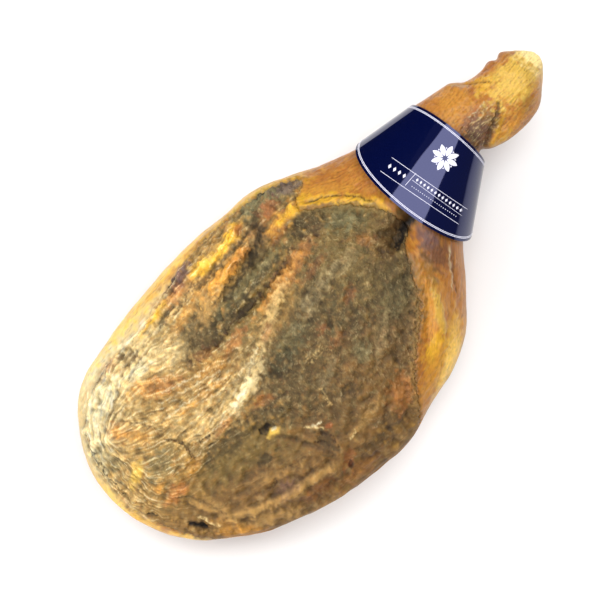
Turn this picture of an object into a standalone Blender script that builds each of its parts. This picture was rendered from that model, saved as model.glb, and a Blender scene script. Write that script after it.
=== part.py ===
"""A whole bone-in cured ham with its hoof sawn off, and the card collar round its shank.

The ham lies on its skin side, with the trimmed meat face up. Its long axis runs along X, from the
butt at -X to the hock at +X, and Z is up. The origin is on the table, under the middle of the ham.
"""
import math

import bpy
import numpy as np
from mathutils import Matrix, Vector

# Driving dimensions, in metres.
HAM_LENGTH = 0.580
CARD_THICKNESS = 0.0008

# The ham is drawn 600 units long, and every place and size below is in those units.
DRAWN_LENGTH = 600.0
UNIT = HAM_LENGTH / DRAWN_LENGTH

# Cross-sections of the ham, from butt to hock. Left is +Y and right is -Y. The waist is the height at
# which a section is widest. An underside below zero is pressed flat by the table.
STATIONS = np.array([
    # along, left, right, top, waist, underside
    (0, 104, -55, 84, 54, 31),
    (20, 117, -77, 91, 54, 24),
    (50, 128, -88, 100, 55, 13),
    (100, 137, -112, 111, 56, 1),
    (150, 142, -132, 119, 57, -6),
    (200, 144, -141, 124, 58, -9),
    (240, 142, -145, 127, 60, -9),
    (280, 137, -136, 128, 62, -8),
    (320, 131, -128, 128, 64, -3),
    (350, 116, -116, 126, 66, 5),
    (380, 100, -90, 123, 69, 13),
    (415, 85, -54, 120, 72, 22),
    (450, 77, -31, 117, 75, 31),
    (485, 71, -10, 112, 76, 39),
    (500, 66, -9, 110, 76, 41),
    (520, 60, -16, 107, 75, 42),
    (545, 48, -19, 104, 74, 42),
    (570, 46, -14, 101, 72, 43),
    (600, 36, -6, 94, 70, 46),
], float)

# Each end closes as a superellipse: how far the closing of its width and of its height reach, their
# power, and where its tip lies across and up.
BUTT = {"width": 100.0, "height": 52.0, "power": 2.4, "tip": (22.0, 52.0)}
HOCK = {"width": 45.0, "height": 34.0, "power": 2.1, "tip": (19.0, 71.0)}

# The four quarters of a section. A point at angle t has the powers of sin t and cos t given here as its
# place across and up: 1 is an ellipse, less is squarer, and more is drawn in towards a keel. The body is
# squarer on the left of its face and keeled below, and the shank is round.
BODY_QUARTERS = {"left_top": (0.74, 0.74), "right_top": (0.87, 0.85),
                 "left_under": (1.25, 1.0), "right_under": (1.2, 1.0)}
BODY_ENDS, SHANK_STARTS = 310.0, 395.0

# The border of the trimmed face, seen from above: inside it the rind is cut away down to the meat.
FACE_BORDER = np.array([
    (390, 12), (387, 30), (380, 50), (366, 68), (350, 83), (334, 88), (316, 86), (302, 92), (318, 100),
    (354, 103), (343, 117), (322, 127), (280, 134), (230, 137), (190, 130), (150, 120), (95, 122),
    (50, 108), (24, 82), (12, 50), (9, 20), (15, -8), (27, -42), (48, -68), (80, -97), (130, -122),
    (190, -138), (238, -143), (262, -128), (290, -101), (318, -82), (343, -62), (360, -34), (374, -11),
], float)
RIND_STEP = 5.0
STEP_WIDTH = 7.0

# The face's relief fades in between these shares of the way from the waist of a section to its top.
RELIEF_STARTS = (0.1, 0.55)

# Swellings and hollows of the trimmed face: centre, half length, half width, turn in degrees, height.
FACE_FORMS = {
    "rump_dome": (315, -8, 88, 72, 0, 11),
    "groove_beside_dome": (266, 87, 46, 10, 8, -13),
    "groove_head": (286, 95, 16, 12, 30, -5),
    "mouldy_hollow": (178, 76, 32, 20, 20, -8),
    "outer_fat_ridge": (246, 118, 40, 8, 2, 6),
    "inner_fat_ridge": (232, 96, 38, 9, 10, 8),
    "seam_crease": (245, 60, 55, 5, 0, -5),
    "seam_ridge": (262, 48, 62, 9, 11, 4),
    "pale_channel": (165, 19, 48, 13, 12, -6),
    "shelf_ridge": (120, 6, 62, 9, 2, 5),
    "hip_bone_end": (60, 13, 26, 24, 0, 7),
    "moat_of_bone_end": (91, 8, 8, 26, 5, -5),
    "lower_terrace": (118, -52, 72, 36, -18, -9),
    "bone_pit": (154, -35, 13, 9, -15, -13),
    "crevice": (188, -88, 9, 20, -10, -7),
    "hollow_under_collar": (384, -2, 22, 13, 10, -17),
    "flap_ridge": (350, -78, 36, 10, 52, 6),
    "flap_valley": (330, -84, 30, 8, 42, -5),
    "upper_lobe": (322, 112, 30, 12, -20, 4),
    "butt_slit": (40, -48, 14, 5, -58, -7),
    "upper_edge_dent": (112, 118, 18, 8, -40, -6),
}

# Folds and lumps of the skinned shank, in the same terms but pushed out from the section's middle:
# place along the ham, turn round the section in degrees from the top, their half widths, height.
SHANK_FORMS = {
    "hock_knuckle": (566, -20, 24, 60, 5),
    "fold_before_knuckle": (536, 20, 9, 70, -4),
    "heel_lobe": (520, -95, 22, 38, 6),
    "crease_above_heel": (512, -42, 20, 14, -5),
    "tendon_bulge": (505, 60, 24, 40, 3),
    "sawn_corner": (584, 60, 12, 40, 4),
    "heel_notch": (493, -100, 7, 40, -4),
}

# A fold is scaled to the section's half width, but to no less than this near the tips.
SMALLEST_HALF = 12.0

# Mesh steps along and round the ham, and how far the rings crowd towards its ends, from 0 to 1.
RINGS = 74
RING_POINTS = 54
END_CROWDING = 0.75

# The collar: an oval cone of card on its own axis, from its wide rim to its narrow rim. Both rims run
# further out over the front of the shank than at its back.
COLLAR_WIDE_CENTRE = (421.5, 20.0, 72.5)
COLLAR_NARROW_CENTRE = (482.5, 31.0, 76.0)
COLLAR_WIDE_HALVES = (70.0, 56.0)
COLLAR_NARROW_HALVES = (44.5, 41.5)
WIDE_RIM_DIP = 22.0
NARROW_RIM_DIP = 8.0
COLLAR_POINTS_ROUND = 56
COLLAR_POINTS_ALONG = 5


def smooth_between(x, knots, values):
    """A smooth curve through the knots: each span is a cubic whose end slopes are those of the chords."""
    slopes = np.gradient(values, knots)
    span = np.clip(np.searchsorted(knots, x, side="right") - 1, 0, len(knots) - 2)
    width = knots[span + 1] - knots[span]
    t = (x - knots[span]) / width
    start = (1 + 2 * t) * (1 - t) ** 2 * values[span]
    end = t ** 2 * (3 - 2 * t) * values[span + 1]
    bend = t * (1 - t) ** 2 * slopes[span] - t ** 2 * (1 - t) * slopes[span + 1]
    return start + end + width * bend


def smooth_step(low, high, x):
    t = np.clip((x - low) / (high - low), 0, 1)
    return t * t * (3 - 2 * t)


def closing(from_end, reach, power):
    """How much of its full size a section keeps: 0 at the end of the ham, and 1 beyond reach."""
    left_over = np.clip(1 - from_end / reach, 0, 1)
    return np.clip(1 - left_over ** power, 0, 1) ** (1 / power)


def towards_tip(values, tip, share):
    return tip + (values - tip) * share


def quarter_powers(x, turn, to_shank):
    """The powers of each point's quarter of the section, which fade to an ellipse's at the shank."""
    names = np.where(
        np.cos(turn) > 0,
        np.where(np.sin(turn) > 0, "left_top", "right_top"),
        np.where(np.sin(turn) > 0, "left_under", "right_under"),
    )
    body = np.array([BODY_QUARTERS[name] for name in names])
    return (body + (1 - body) * to_shank[:, None]).T


def curve_through(points, steps=12):
    """A closed smooth curve through the points, as a polygon."""
    before, after, next_after = (np.roll(points, shift, axis=0) for shift in (1, -1, -2))
    t = (np.arange(steps) / steps)[:, None, None]
    curve = 0.5 * (
        2 * points
        + (after - before) * t
        + (2 * before - 5 * points + 4 * after - next_after) * t ** 2
        + (3 * points - before - 3 * after + next_after) * t ** 3
    )
    return curve.transpose(1, 0, 2).reshape(-1, 2)


def depth_inside(x, y, polygon):
    """Distance from each place to the polygon's nearest side, positive inside it."""
    a, b = polygon, np.roll(polygon, -1, axis=0)
    side = b - a
    px, py = x[:, None] - a[:, 0], y[:, None] - a[:, 1]
    t = np.clip((px * side[:, 0] + py * side[:, 1]) / (side ** 2).sum(1), 0, 1)
    gap = np.hypot(px - t * side[:, 0], py - t * side[:, 1]).min(1)
    spans = (a[:, 1] > y[:, None]) != (b[:, 1] > y[:, None])
    crossing = a[:, 0] + side[:, 0] * py / np.where(side[:, 1] == 0, 1e-9, side[:, 1])
    inside = (spans & (x[:, None] < crossing)).sum(1) % 2 == 1
    return np.where(inside, gap, -gap)


def face_relief(x, y):
    """Height of the trimmed face over the plain oval form, from the swellings, hollows and cut rind."""
    height = np.zeros_like(x)
    for centre_x, centre_y, half_length, half_width, turn, rise in FACE_FORMS.values():
        c, s = math.cos(math.radians(turn)), math.sin(math.radians(turn))
        along = ((x - centre_x) * c + (y - centre_y) * s) / half_length
        across = ((y - centre_y) * c - (x - centre_x) * s) / half_width
        height += rise * np.exp(-along ** 2 - across ** 2)
    depth = depth_inside(x, y, curve_through(FACE_BORDER))
    return height - RIND_STEP * smooth_step(-STEP_WIDTH / 2, STEP_WIDTH / 2, depth)


def shank_relief(x, turn):
    """How far the shank's folds and lumps stand out from its plain oval form."""
    out = np.zeros_like(x)
    for centre_x, centre_turn, half_length, half_turn, rise in SHANK_FORMS.values():
        apart = np.degrees(turn) - centre_turn
        apart = (apart + 180) % 360 - 180
        out += rise * np.exp(-((x - centre_x) / half_length) ** 2 - (apart / half_turn) ** 2)
    return out


def ham_surface(x, turn):
    """Points of the ham at distance x from the butt and angle turn round the section, from the top.

    A section is an oval made of four superellipse quarters. The face's relief is added to its height,
    and the shank's relief pushes its points outwards.
    """
    left, right, top, waist, under = (
        smooth_between(x, STATIONS[:, 0], STATIONS[:, column]) for column in range(1, 6)
    )
    height_share = np.ones_like(x)
    for end, from_end in ((BUTT, x), (HOCK, DRAWN_LENGTH - x)):
        tip_y, tip_z = end["tip"]
        width_share = closing(from_end, end["width"], end["power"])
        end_share = closing(from_end, end["height"], end["power"])
        left, right = (towards_tip(values, tip_y, width_share) for values in (left, right))
        top, waist, under = (towards_tip(values, tip_z, end_share) for values in (top, waist, under))
        height_share = height_share * end_share
    across_power, up_power = quarter_powers(x, turn, smooth_step(BODY_ENDS, SHANK_STARTS, x))
    side = np.sign(np.sin(turn)) * np.abs(np.sin(turn)) ** across_power
    lift = np.sign(np.cos(turn)) * np.abs(np.cos(turn)) ** up_power
    half_width = (left - right) / 2
    out = 1 + shank_relief(x, turn) / np.maximum(half_width, SMALLEST_HALF)
    y = (left + right) / 2 + side * half_width * out
    z = waist + np.where(lift > 0, lift * (top - waist), lift * (waist - under)) * out
    z = z + face_relief(x, y) * smooth_step(*RELIEF_STARTS, lift) * height_share
    return np.stack([x, y, np.maximum(z, 0)], axis=-1)


def ham_mesh():
    """Rings of the surface from end to end, closed by a point at the butt and one at the hock."""
    share = np.arange(1, RINGS) / RINGS
    along = DRAWN_LENGTH * (share + END_CROWDING * (smooth_step(0, 1, share) - share))
    turns = 2 * math.pi * np.arange(RING_POINTS) / RING_POINTS
    x, turn = (grid.ravel() for grid in np.meshgrid(along, turns, indexing="ij"))
    rings = ham_surface(x, turn)
    tips = [(0, *BUTT["tip"]), (DRAWN_LENGTH, *HOCK["tip"])]
    points = np.vstack([rings, tips]) * UNIT
    butt_tip, hock_tip = len(rings), len(rings) + 1
    last = (RINGS - 2) * RING_POINTS
    faces = []
    for i in range(RING_POINTS):
        j = (i + 1) % RING_POINTS
        for start in range(0, last, RING_POINTS):
            faces.append((start + i, start + j, start + RING_POINTS + j, start + RING_POINTS + i))
        faces.append((butt_tip, j, i))
        faces.append((hock_tip, last + i, last + j))
    mesh = bpy.data.meshes.new("ham")
    mesh.from_pydata(points.tolist(), [], faces)
    mesh.flip_normals()
    return mesh


def collar_mesh(length):
    """The collar's inner face round its own X axis: an oval cone between two rims that dip at the front."""
    turns = 2 * math.pi * np.arange(COLLAR_POINTS_ROUND) / COLLAR_POINTS_ROUND
    shares = np.linspace(0, 1, COLLAR_POINTS_ALONG)
    share, turn = (grid.ravel() for grid in np.meshgrid(shares, turns, indexing="ij"))
    wide_rim = -WIDE_RIM_DIP * np.cos(turn)
    narrow_rim = length + NARROW_RIM_DIP * np.cos(turn)
    along = wide_rim + (narrow_rim - wide_rim) * share
    half_width, half_height = (
        wide + (narrow - wide) * along / length
        for wide, narrow in zip(COLLAR_WIDE_HALVES, COLLAR_NARROW_HALVES)
    )
    points = np.stack([along, half_width * np.sin(turn), half_height * np.cos(turn)], axis=-1)
    faces = []
    for ring in range(COLLAR_POINTS_ALONG - 1):
        for i in range(COLLAR_POINTS_ROUND):
            j = (i + 1) % COLLAR_POINTS_ROUND
            low, high = ring * COLLAR_POINTS_ROUND, (ring + 1) * COLLAR_POINTS_ROUND
            faces.append((low + i, high + i, high + j, low + j))
    mesh = bpy.data.meshes.new("collar")
    mesh.from_pydata((points * UNIT).tolist(), [], faces)
    return mesh


def finish(name, colour, roughness, coat):
    material = bpy.data.materials.new(name)
    material.use_nodes = True
    shader = material.node_tree.nodes["Principled BSDF"]
    shader.inputs["Base Color"].default_value = (*colour, 1)
    shader.inputs["Roughness"].default_value = roughness
    shader.inputs["Metallic"].default_value = 0
    shader.inputs["Coat Weight"].default_value = coat
    return material


def add_object(collection, mesh, material, parent):
    mesh.materials.append(material)
    mesh.shade_smooth()
    piece = bpy.data.objects.new(mesh.name, mesh)
    piece.parent = parent
    collection.objects.link(piece)
    return piece


def build():
    for old in list(bpy.data.objects):
        bpy.data.objects.remove(old, do_unlink=True)
    collection = bpy.data.collections.new("cured_ham")
    bpy.context.scene.collection.children.link(collection)

    ham = ham_mesh()
    corners = np.array([vertex.co for vertex in ham.vertices])
    middle = (corners.max(0) + corners.min(0)) / 2
    base = bpy.data.objects.new("ham_on_table", None)
    base.location = (-middle[0], -middle[1], 0)
    collection.objects.link(base)
    crust = finish("rind and cured meat", colour=(0.50, 0.30, 0.10), roughness=0.5, coat=0.1)
    add_object(collection, ham, crust, base)

    wide, narrow = Vector(COLLAR_WIDE_CENTRE), Vector(COLLAR_NARROW_CENTRE)
    axis = narrow - wide
    card = finish("laminated navy card", colour=(0.01, 0.012, 0.06), roughness=0.25, coat=1.0)
    collar = add_object(collection, collar_mesh(axis.length), card, base)
    up = Vector((0, 0, 1))
    across = up.cross(axis).normalized()
    upright = axis.normalized().cross(across)
    turned = Matrix((axis.normalized(), across, upright)).transposed()
    collar.matrix_local = Matrix.Translation(wide * UNIT) @ turned.to_4x4()
    wall = collar.modifiers.new("card wall", "SOLIDIFY")
    wall.thickness = CARD_THICKNESS
    wall.offset = 1
    wall.use_even_offset = True


build()
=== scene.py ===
"""The looks of a whole bone-in cured ham and of the glossy card collar round its shank.

The ham lies on its skin side with the trimmed meat face up, and the camera looks straight down on it.
Places on the ham are in drawing units: along it from the butt, across it with its left side positive,
and up from the table. The ham is 600 units long, so a unit is a little under a millimetre.
"""

import math
from itertools import product

import bpy
import numpy as np
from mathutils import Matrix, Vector


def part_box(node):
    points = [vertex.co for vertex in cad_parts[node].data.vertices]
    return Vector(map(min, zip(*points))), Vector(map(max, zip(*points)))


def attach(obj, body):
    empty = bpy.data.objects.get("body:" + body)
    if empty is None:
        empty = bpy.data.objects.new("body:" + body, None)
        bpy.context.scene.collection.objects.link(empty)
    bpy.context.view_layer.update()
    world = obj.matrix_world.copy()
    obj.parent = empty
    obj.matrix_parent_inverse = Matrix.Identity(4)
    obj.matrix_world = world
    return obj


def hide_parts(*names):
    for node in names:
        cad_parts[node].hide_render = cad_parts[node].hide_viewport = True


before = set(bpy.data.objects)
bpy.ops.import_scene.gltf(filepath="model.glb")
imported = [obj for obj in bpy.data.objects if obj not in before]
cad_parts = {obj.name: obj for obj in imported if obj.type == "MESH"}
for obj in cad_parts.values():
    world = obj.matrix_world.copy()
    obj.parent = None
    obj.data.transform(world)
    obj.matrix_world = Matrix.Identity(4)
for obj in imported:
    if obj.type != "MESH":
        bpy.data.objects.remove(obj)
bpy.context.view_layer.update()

HAM_LENGTH = 0.580
DRAWN_LENGTH = 600.0
UNIT = HAM_LENGTH / DRAWN_LENGTH
MILLIMETRE = 0.001 / UNIT

# The form of the ham, as its solid has it.

STATIONS = np.array([
    # along, left, right, top, waist, underside
    (0, 104, -55, 84, 54, 31),
    (20, 117, -77, 91, 54, 24),
    (50, 128, -88, 100, 55, 13),
    (100, 137, -112, 111, 56, 1),
    (150, 142, -132, 119, 57, -6),
    (200, 144, -141, 124, 58, -9),
    (240, 142, -145, 127, 60, -9),
    (280, 137, -136, 128, 62, -8),
    (320, 131, -128, 128, 64, -3),
    (350, 116, -116, 126, 66, 5),
    (380, 100, -90, 123, 69, 13),
    (415, 85, -54, 120, 72, 22),
    (450, 77, -31, 117, 75, 31),
    (485, 71, -10, 112, 76, 39),
    (500, 66, -9, 110, 76, 41),
    (520, 60, -16, 107, 75, 42),
    (545, 48, -19, 104, 74, 42),
    (570, 46, -14, 101, 72, 43),
    (600, 36, -6, 94, 70, 46),
], float)
BUTT = {"width": 100.0, "height": 52.0, "power": 2.4, "tip": (22.0, 52.0)}
HOCK = {"width": 45.0, "height": 34.0, "power": 2.1, "tip": (19.0, 71.0)}
BODY_QUARTERS = {"left_top": (0.74, 0.74), "right_top": (0.87, 0.85),
                 "left_under": (1.25, 1.0), "right_under": (1.2, 1.0)}
BODY_ENDS, SHANK_STARTS = 310.0, 395.0
RELIEF_STARTS = (0.1, 0.55)
SMALLEST_HALF = 12.0

# The border of the trimmed face, seen from above.
FACE_BORDER = np.array([
    (389, 14), (385, 28), (375, 44), (362, 60), (349, 71), (339, 79), (332, 86), (334, 93), (342, 98),
    (354, 104), (342, 115), (321, 124), (280, 131.5), (230, 134.5), (190, 129), (150, 120), (95, 122),
    (50, 108), (24, 82), (12, 50), (9, 20), (13, -8), (24, -42), (44, -74), (80, -107), (130, -134),
    (190, -150), (244, -152), (268, -130), (290, -103), (318, -82), (343, -62), (360, -34), (376, -10),
    (388, -4), (390, 6),
], float)
RIND_STEP = 5.0

# Swellings and hollows of the trimmed face: centre, half length, half width, turn in degrees, height.
FACE_FORMS = {
    "rump_dome": (315, -8, 88, 72, 0, 11),
    "groove_beside_dome": (266, 87, 46, 10, 8, -13),
    "groove_head": (286, 95, 16, 12, 30, -5),
    "mouldy_hollow": (178, 76, 32, 20, 20, -8),
    "outer_fat_ridge": (246, 118, 40, 8, 2, 6),
    "inner_fat_ridge": (232, 96, 38, 9, 10, 8),
    "seam_crease": (245, 60, 55, 5, 0, -5),
    "seam_ridge": (262, 48, 62, 9, 11, 4),
    "pale_channel": (165, 19, 48, 13, 12, -6),
    "shelf_ridge": (120, 6, 62, 9, 2, 5),
    "hip_bone_end": (60, 13, 26, 24, 0, 7),
    "moat_of_bone_end": (91, 8, 8, 26, 5, -5),
    "lower_terrace": (118, -52, 72, 36, -18, -9),
    "bone_pit": (154, -35, 13, 9, -15, -13),
    "crevice": (188, -88, 9, 20, -10, -7),
    "hollow_under_collar": (384, -2, 22, 13, 10, -17),
    "flap_ridge": (350, -78, 36, 10, 52, 6),
    "flap_valley": (330, -84, 30, 8, 42, -5),
    "upper_lobe": (322, 112, 30, 12, -20, 4),
    "butt_slit": (40, -48, 14, 5, -58, -7),
    "upper_edge_dent": (112, 118, 18, 8, -40, -6),
    # Finer forms, which ease the hollows where dried meat and fat have drawn round them.
    "filled_pit": (154, -36, 14, 9.5, -15, 10),
    "small_pit": (155, -32, 5, 4, -20, -3),
    "filled_slit": (40, -47, 14, 6, -58, 6),
    "filled_crevice": (188, -88, 9, 19, -10, 7),
    "filled_dent": (112, 118, 16, 8, -40, 5),
    "shallower_groove_head": (284, 94, 15, 10, 20, 7),
    "shallower_groove": (262, 87, 44, 9, 8, 3),
    "flap_edge": (362, -44, 34, 7, 62, 3),
    "rind_edge": (374, 58, 34, 6, -58, 2.5),
}

# Folds and lumps of the skinned shank: place along, turn in degrees from the top, half widths, height.
SHANK_FORMS = {
    "hock_knuckle": (566, -20, 24, 60, 5),
    "fold_before_knuckle": (536, 20, 9, 70, -4),
    "heel_lobe": (520, -95, 22, 38, 6),
    "crease_above_heel": (512, -42, 20, 14, -5),
    "tendon_bulge": (505, 60, 24, 40, 3),
    "sawn_corner": (584, 60, 12, 40, 4),
    "heel_notch": (493, -100, 7, 40, -4),
    # Finer folds, and lumps along the edge of the knob.
    "slimmer_heel": (522, -100, 20, 34, -5),
    "deeper_notch": (494, -95, 6, 30, -3),
    "fold_by_patch": (528, -30, 6, 26, -2.5),
    "roll_by_fold": (538, -26, 8, 26, 2.0),
    "upper_fold": (531, 66, 5, 26, -2.5),
    "upper_roll": (522, 64, 7, 26, 2.2),
    "knob_dip": (556, 40, 8, 26, -1.8),
    "edge_lump_one": (562, 84, 6, 22, 2.2),
    "edge_lump_two": (577, 80, 5, 22, 2.4),
    "edge_dip": (569, 84, 3.5, 24, -2.0),
    "knob_crown": (574, 4, 16, 34, 2.0),
    "under_knob": (582, -70, 12, 34, -3.0),
}

# The collar: an oval cone of card on its own axis, from its wide rim to its narrow rim.
COLLAR_WIDE_CENTRE = np.array([421.5, 20.0, 72.5])
COLLAR_NARROW_CENTRE = np.array([482.5, 31.0, 76.0])
COLLAR_WIDE_HALVES = (70.0, 56.0)
COLLAR_NARROW_HALVES = (44.5, 41.5)
WIDE_RIM_DIP = 22.0
NARROW_RIM_DIP = 8.0
CARD_THICKNESS = 0.0008 / UNIT


def smooth_between(x, knots, values):
    """A smooth curve through the knots: each span is a cubic whose end slopes are those of the chords."""
    slopes = np.gradient(values, knots)
    span = np.clip(np.searchsorted(knots, x, side="right") - 1, 0, len(knots) - 2)
    width = knots[span + 1] - knots[span]
    t = (x - knots[span]) / width
    start = (1 + 2 * t) * (1 - t) ** 2 * values[span]
    end = t ** 2 * (3 - 2 * t) * values[span + 1]
    bend = t * (1 - t) ** 2 * slopes[span] - t ** 2 * (1 - t) * slopes[span + 1]
    return start + end + width * bend


def smooth_step(low, high, x):
    """Rises from 0 at low to 1 at high: 3 t squared less 2 t cubed, t being the share of the way there."""
    t = np.clip((x - low) / (high - low), 0, 1)
    return t * t * (3 - 2 * t)


def limited(values, most):
    """The values kept between minus most and most."""
    return np.clip(values, -most, most)


def closing(from_end, reach, power):
    """How much of its full size a section keeps: 0 at the end of the ham, and 1 beyond reach."""
    left_over = np.clip(1 - from_end / reach, 0, 1)
    return np.clip(1 - left_over ** power, 0, 1) ** (1 / power)


def quarter_powers(x, turn):
    """The powers of each point's quarter of the section, which fade to an ellipse's at the shank."""
    to_shank = smooth_step(BODY_ENDS, SHANK_STARTS, x)
    powers = []
    for kind in (0, 1):
        of = {name: pair[kind] for name, pair in BODY_QUARTERS.items()}
        body = np.where(
            np.cos(turn) > 0,
            np.where(np.sin(turn) > 0, of["left_top"], of["right_top"]),
            np.where(np.sin(turn) > 0, of["left_under"], of["right_under"]),
        )
        powers.append(body + (1 - body) * to_shank)
    return powers


def from_ellipse(x, y, centre_x, centre_y, half_length, half_width, turn):
    """Places seen from a turned ellipse: along it in half lengths, and across it in half widths."""
    c, s = math.cos(math.radians(turn)), math.sin(math.radians(turn))
    dx, dy = x - centre_x, y - centre_y
    return (dx * c + dy * s) / half_length, (dy * c - dx * s) / half_width


def swellings(x, y):
    """Height of the face's swellings and hollows: a sum of turned bell curves."""
    height = np.zeros_like(x)
    for *ellipse, rise in FACE_FORMS.values():
        along, across = from_ellipse(x, y, *ellipse)
        height += rise * np.exp(-along ** 2 - across ** 2)
    return height


def shank_relief(x, turn):
    """How far the shank's folds and lumps stand out from its plain oval form: a sum of bell curves."""
    out = np.zeros_like(x)
    for centre_x, centre_turn, half_length, half_turn, rise in SHANK_FORMS.values():
        apart = np.degrees(turn) - centre_turn
        apart = (apart + 180) % 360 - 180
        out += rise * np.exp(-((x - centre_x) / half_length) ** 2 - (apart / half_turn) ** 2)
    return out


def ham_surface(x, turn):
    """Points of the plain ham at distance x from the butt and angle turn round the section, from the top.

    A section is four superellipse quarters about its waist. The swellings are added to its height, and
    the shank's relief pushes its points outwards. Also returns how far up its section each point is.
    """
    left, right, top, waist, under = (
        smooth_between(x, STATIONS[:, 0], STATIONS[:, column]) for column in range(1, 6)
    )
    height_share = np.ones_like(x)
    for end, from_end in ((BUTT, x), (HOCK, DRAWN_LENGTH - x)):
        tip_y, tip_z = end["tip"]
        width_share = closing(from_end, end["width"], end["power"])
        end_share = closing(from_end, end["height"], end["power"])
        left, right = (tip_y + (value - tip_y) * width_share for value in (left, right))
        top, waist, under = (tip_z + (value - tip_z) * end_share for value in (top, waist, under))
        height_share = height_share * end_share
    across_power, up_power = quarter_powers(x, turn)
    side = np.sign(np.sin(turn)) * np.abs(np.sin(turn)) ** across_power
    lift = np.sign(np.cos(turn)) * np.abs(np.cos(turn)) ** up_power
    half_width = (left - right) / 2
    out = 1 + shank_relief(x, turn) / np.maximum(half_width, SMALLEST_HALF)
    y = (left + right) / 2 + side * half_width * out
    z = waist + np.where(lift > 0, lift * (top - waist), lift * (waist - under)) * out
    z = z + swellings(x, y) * smooth_step(*RELIEF_STARTS, lift) * height_share
    return np.stack([x, y, np.maximum(z, 0)], axis=-1), lift


# Noise.

def noise(places, grain, seed):
    """Smooth noise from about -1 to 1, with lumps as large as grain.

    Each corner of a square or cubic lattice has a random slope, and the planes of the corners' slopes
    are blended across a cell by a quintic step.
    """
    dims = places.shape[-1]
    draw = np.random.default_rng(seed)
    shuffle = draw.permutation(256)
    slopes = draw.standard_normal((256, dims))
    slopes /= np.linalg.norm(slopes, axis=1, keepdims=True)
    cell = np.floor(places / grain).astype(int)
    inside = places / grain - cell
    step = inside ** 3 * (inside * (6 * inside - 15) + 10)
    total = np.zeros(places.shape[:-1])
    for corner in product((0, 1), repeat=dims):
        spot = np.zeros(places.shape[:-1], int)
        share = np.ones(places.shape[:-1])
        for axis, far in enumerate(corner):
            spot = shuffle[(spot + cell[..., axis] + far) & 255]
            share = share * (step[..., axis] if far else 1 - step[..., axis])
        total += share * np.einsum("...i,...i->...", slopes[spot], inside - np.array(corner))
    return total * 1.7


def rough(places, grain, seed, layers=4):
    """Noise with finer noise on it: each layer has half the size and just over half the height."""
    return sum(0.55 ** i * noise(places, grain / 2 ** i, seed + i) for i in range(layers))


# The chart: a fine grid over the ham as seen from above, which holds its painted colours and low relief.

CHART_STEP = 0.5
CHART_CORNER = np.array([-12.0, -162.0])
CHART_SIZE = (1250, 648)
chart_x, chart_y = np.meshgrid(
    *(low + CHART_STEP * np.arange(count) for low, count in zip(CHART_CORNER, CHART_SIZE)), indexing="ij")
waves_along = np.fft.fftfreq(CHART_SIZE[0], CHART_STEP)[:, None]
waves_across = np.fft.rfftfreq(CHART_SIZE[1], CHART_STEP)[None, :]
EVERYWHERE = (slice(None), slice(None))


def read_chart(values, x, y):
    """A chart's value at any place, blended from the four cells round it."""
    u = np.clip((x - CHART_CORNER[0]) / CHART_STEP, 0, values.shape[0] - 1.001)
    v = np.clip((y - CHART_CORNER[1]) / CHART_STEP, 0, values.shape[1] - 1.001)
    i, j = u.astype(int), v.astype(int)
    fu, fv = u - i, v - j
    if values.ndim == 3:
        fu, fv = fu[..., None], fv[..., None]
    low = values[i, j] * (1 - fv) + values[i, j + 1] * fv
    high = values[i + 1, j] * (1 - fv) + values[i + 1, j + 1] * fv
    return low * (1 - fu) + high * fu


def blurred(values, reach):
    """A chart averaged with a bell curve of that reach, by way of its spectrum."""
    keep = np.exp(-2 * (math.pi * reach) ** 2 * (waves_along ** 2 + waves_across ** 2))
    return np.fft.irfft2(np.fft.rfft2(values) * keep, s=values.shape)


def clouds(grain, seed, falloff=1.9, stretch=1.0):
    """Random clouds over the chart with a spread of 1: random waves in every direction, strongest at
    about one per grain, whose strength falls as a power of their fineness. Stretch draws them out along
    the ham."""
    dots = np.random.default_rng(seed).standard_normal(CHART_SIZE)
    wave = np.hypot(waves_along * stretch, waves_across) * grain
    strength = wave ** 2 / (1 + wave ** 2) ** (1 + falloff / 2)
    cloud = np.fft.irfft2(np.fft.rfft2(dots) * strength, s=CHART_SIZE)
    return cloud / cloud.std()


def field(name):
    """One of the named random fields."""
    return clouds(*FIELDS[name])


def curve_through(points, steps=6):
    """A closed smooth curve through the points, as a polygon."""
    before, after, next_after = (np.roll(points, shift, axis=0) for shift in (1, -1, -2))
    t = (np.arange(steps) / steps)[:, None, None]
    curve = 0.5 * (
        2 * points
        + (after - before) * t
        + (2 * before - 5 * points + 4 * after - next_after) * t ** 2
        + (3 * points - before - 3 * after + next_after) * t ** 3
    )
    return curve.transpose(1, 0, 2).reshape(-1, 2)


def gap_to_side(x, y, a, b):
    """Distance from each place to the nearest point of the straight side from a to b."""
    side = b - a
    t = np.clip(((x - a[0]) * side[0] + (y - a[1]) * side[1]) / (side @ side), 0, 1)
    return np.hypot(x - a[0] - t * side[0], y - a[1] - t * side[1])


def depth_inside(polygon, skip=4):
    """Distance from each place of the chart to the polygon's nearest side, positive inside it. It is
    worked out at every fourth place each way and blended between them."""
    x, y = chart_x[::skip, ::skip], chart_y[::skip, ::skip]
    gap = np.full(x.shape, np.inf)
    inside = np.zeros(x.shape, bool)
    for a, b in zip(polygon, np.roll(polygon, -1, axis=0)):
        gap = np.minimum(gap, gap_to_side(x, y, a, b))
        if a[1] != b[1]:
            crossing = a[0] + (b[0] - a[0]) * (y - a[1]) / (b[1] - a[1])
            inside ^= ((a[1] > y) != (b[1] > y)) & (x < crossing)
    coarse = np.where(inside, gap, -gap)
    return read_chart(
        coarse, CHART_CORNER[0] + (chart_x - CHART_CORNER[0]) / skip,
        CHART_CORNER[1] + (chart_y - CHART_CORNER[1]) / skip)


def srgb(code):
    """A hex colour turned to linear red, green and blue."""
    values = np.array([int(code[i:i + 2], 16) for i in (1, 3, 5)]) / 255
    return np.where(values <= 0.04045, values / 12.92, ((values + 0.055) / 1.055) ** 2.4)


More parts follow.
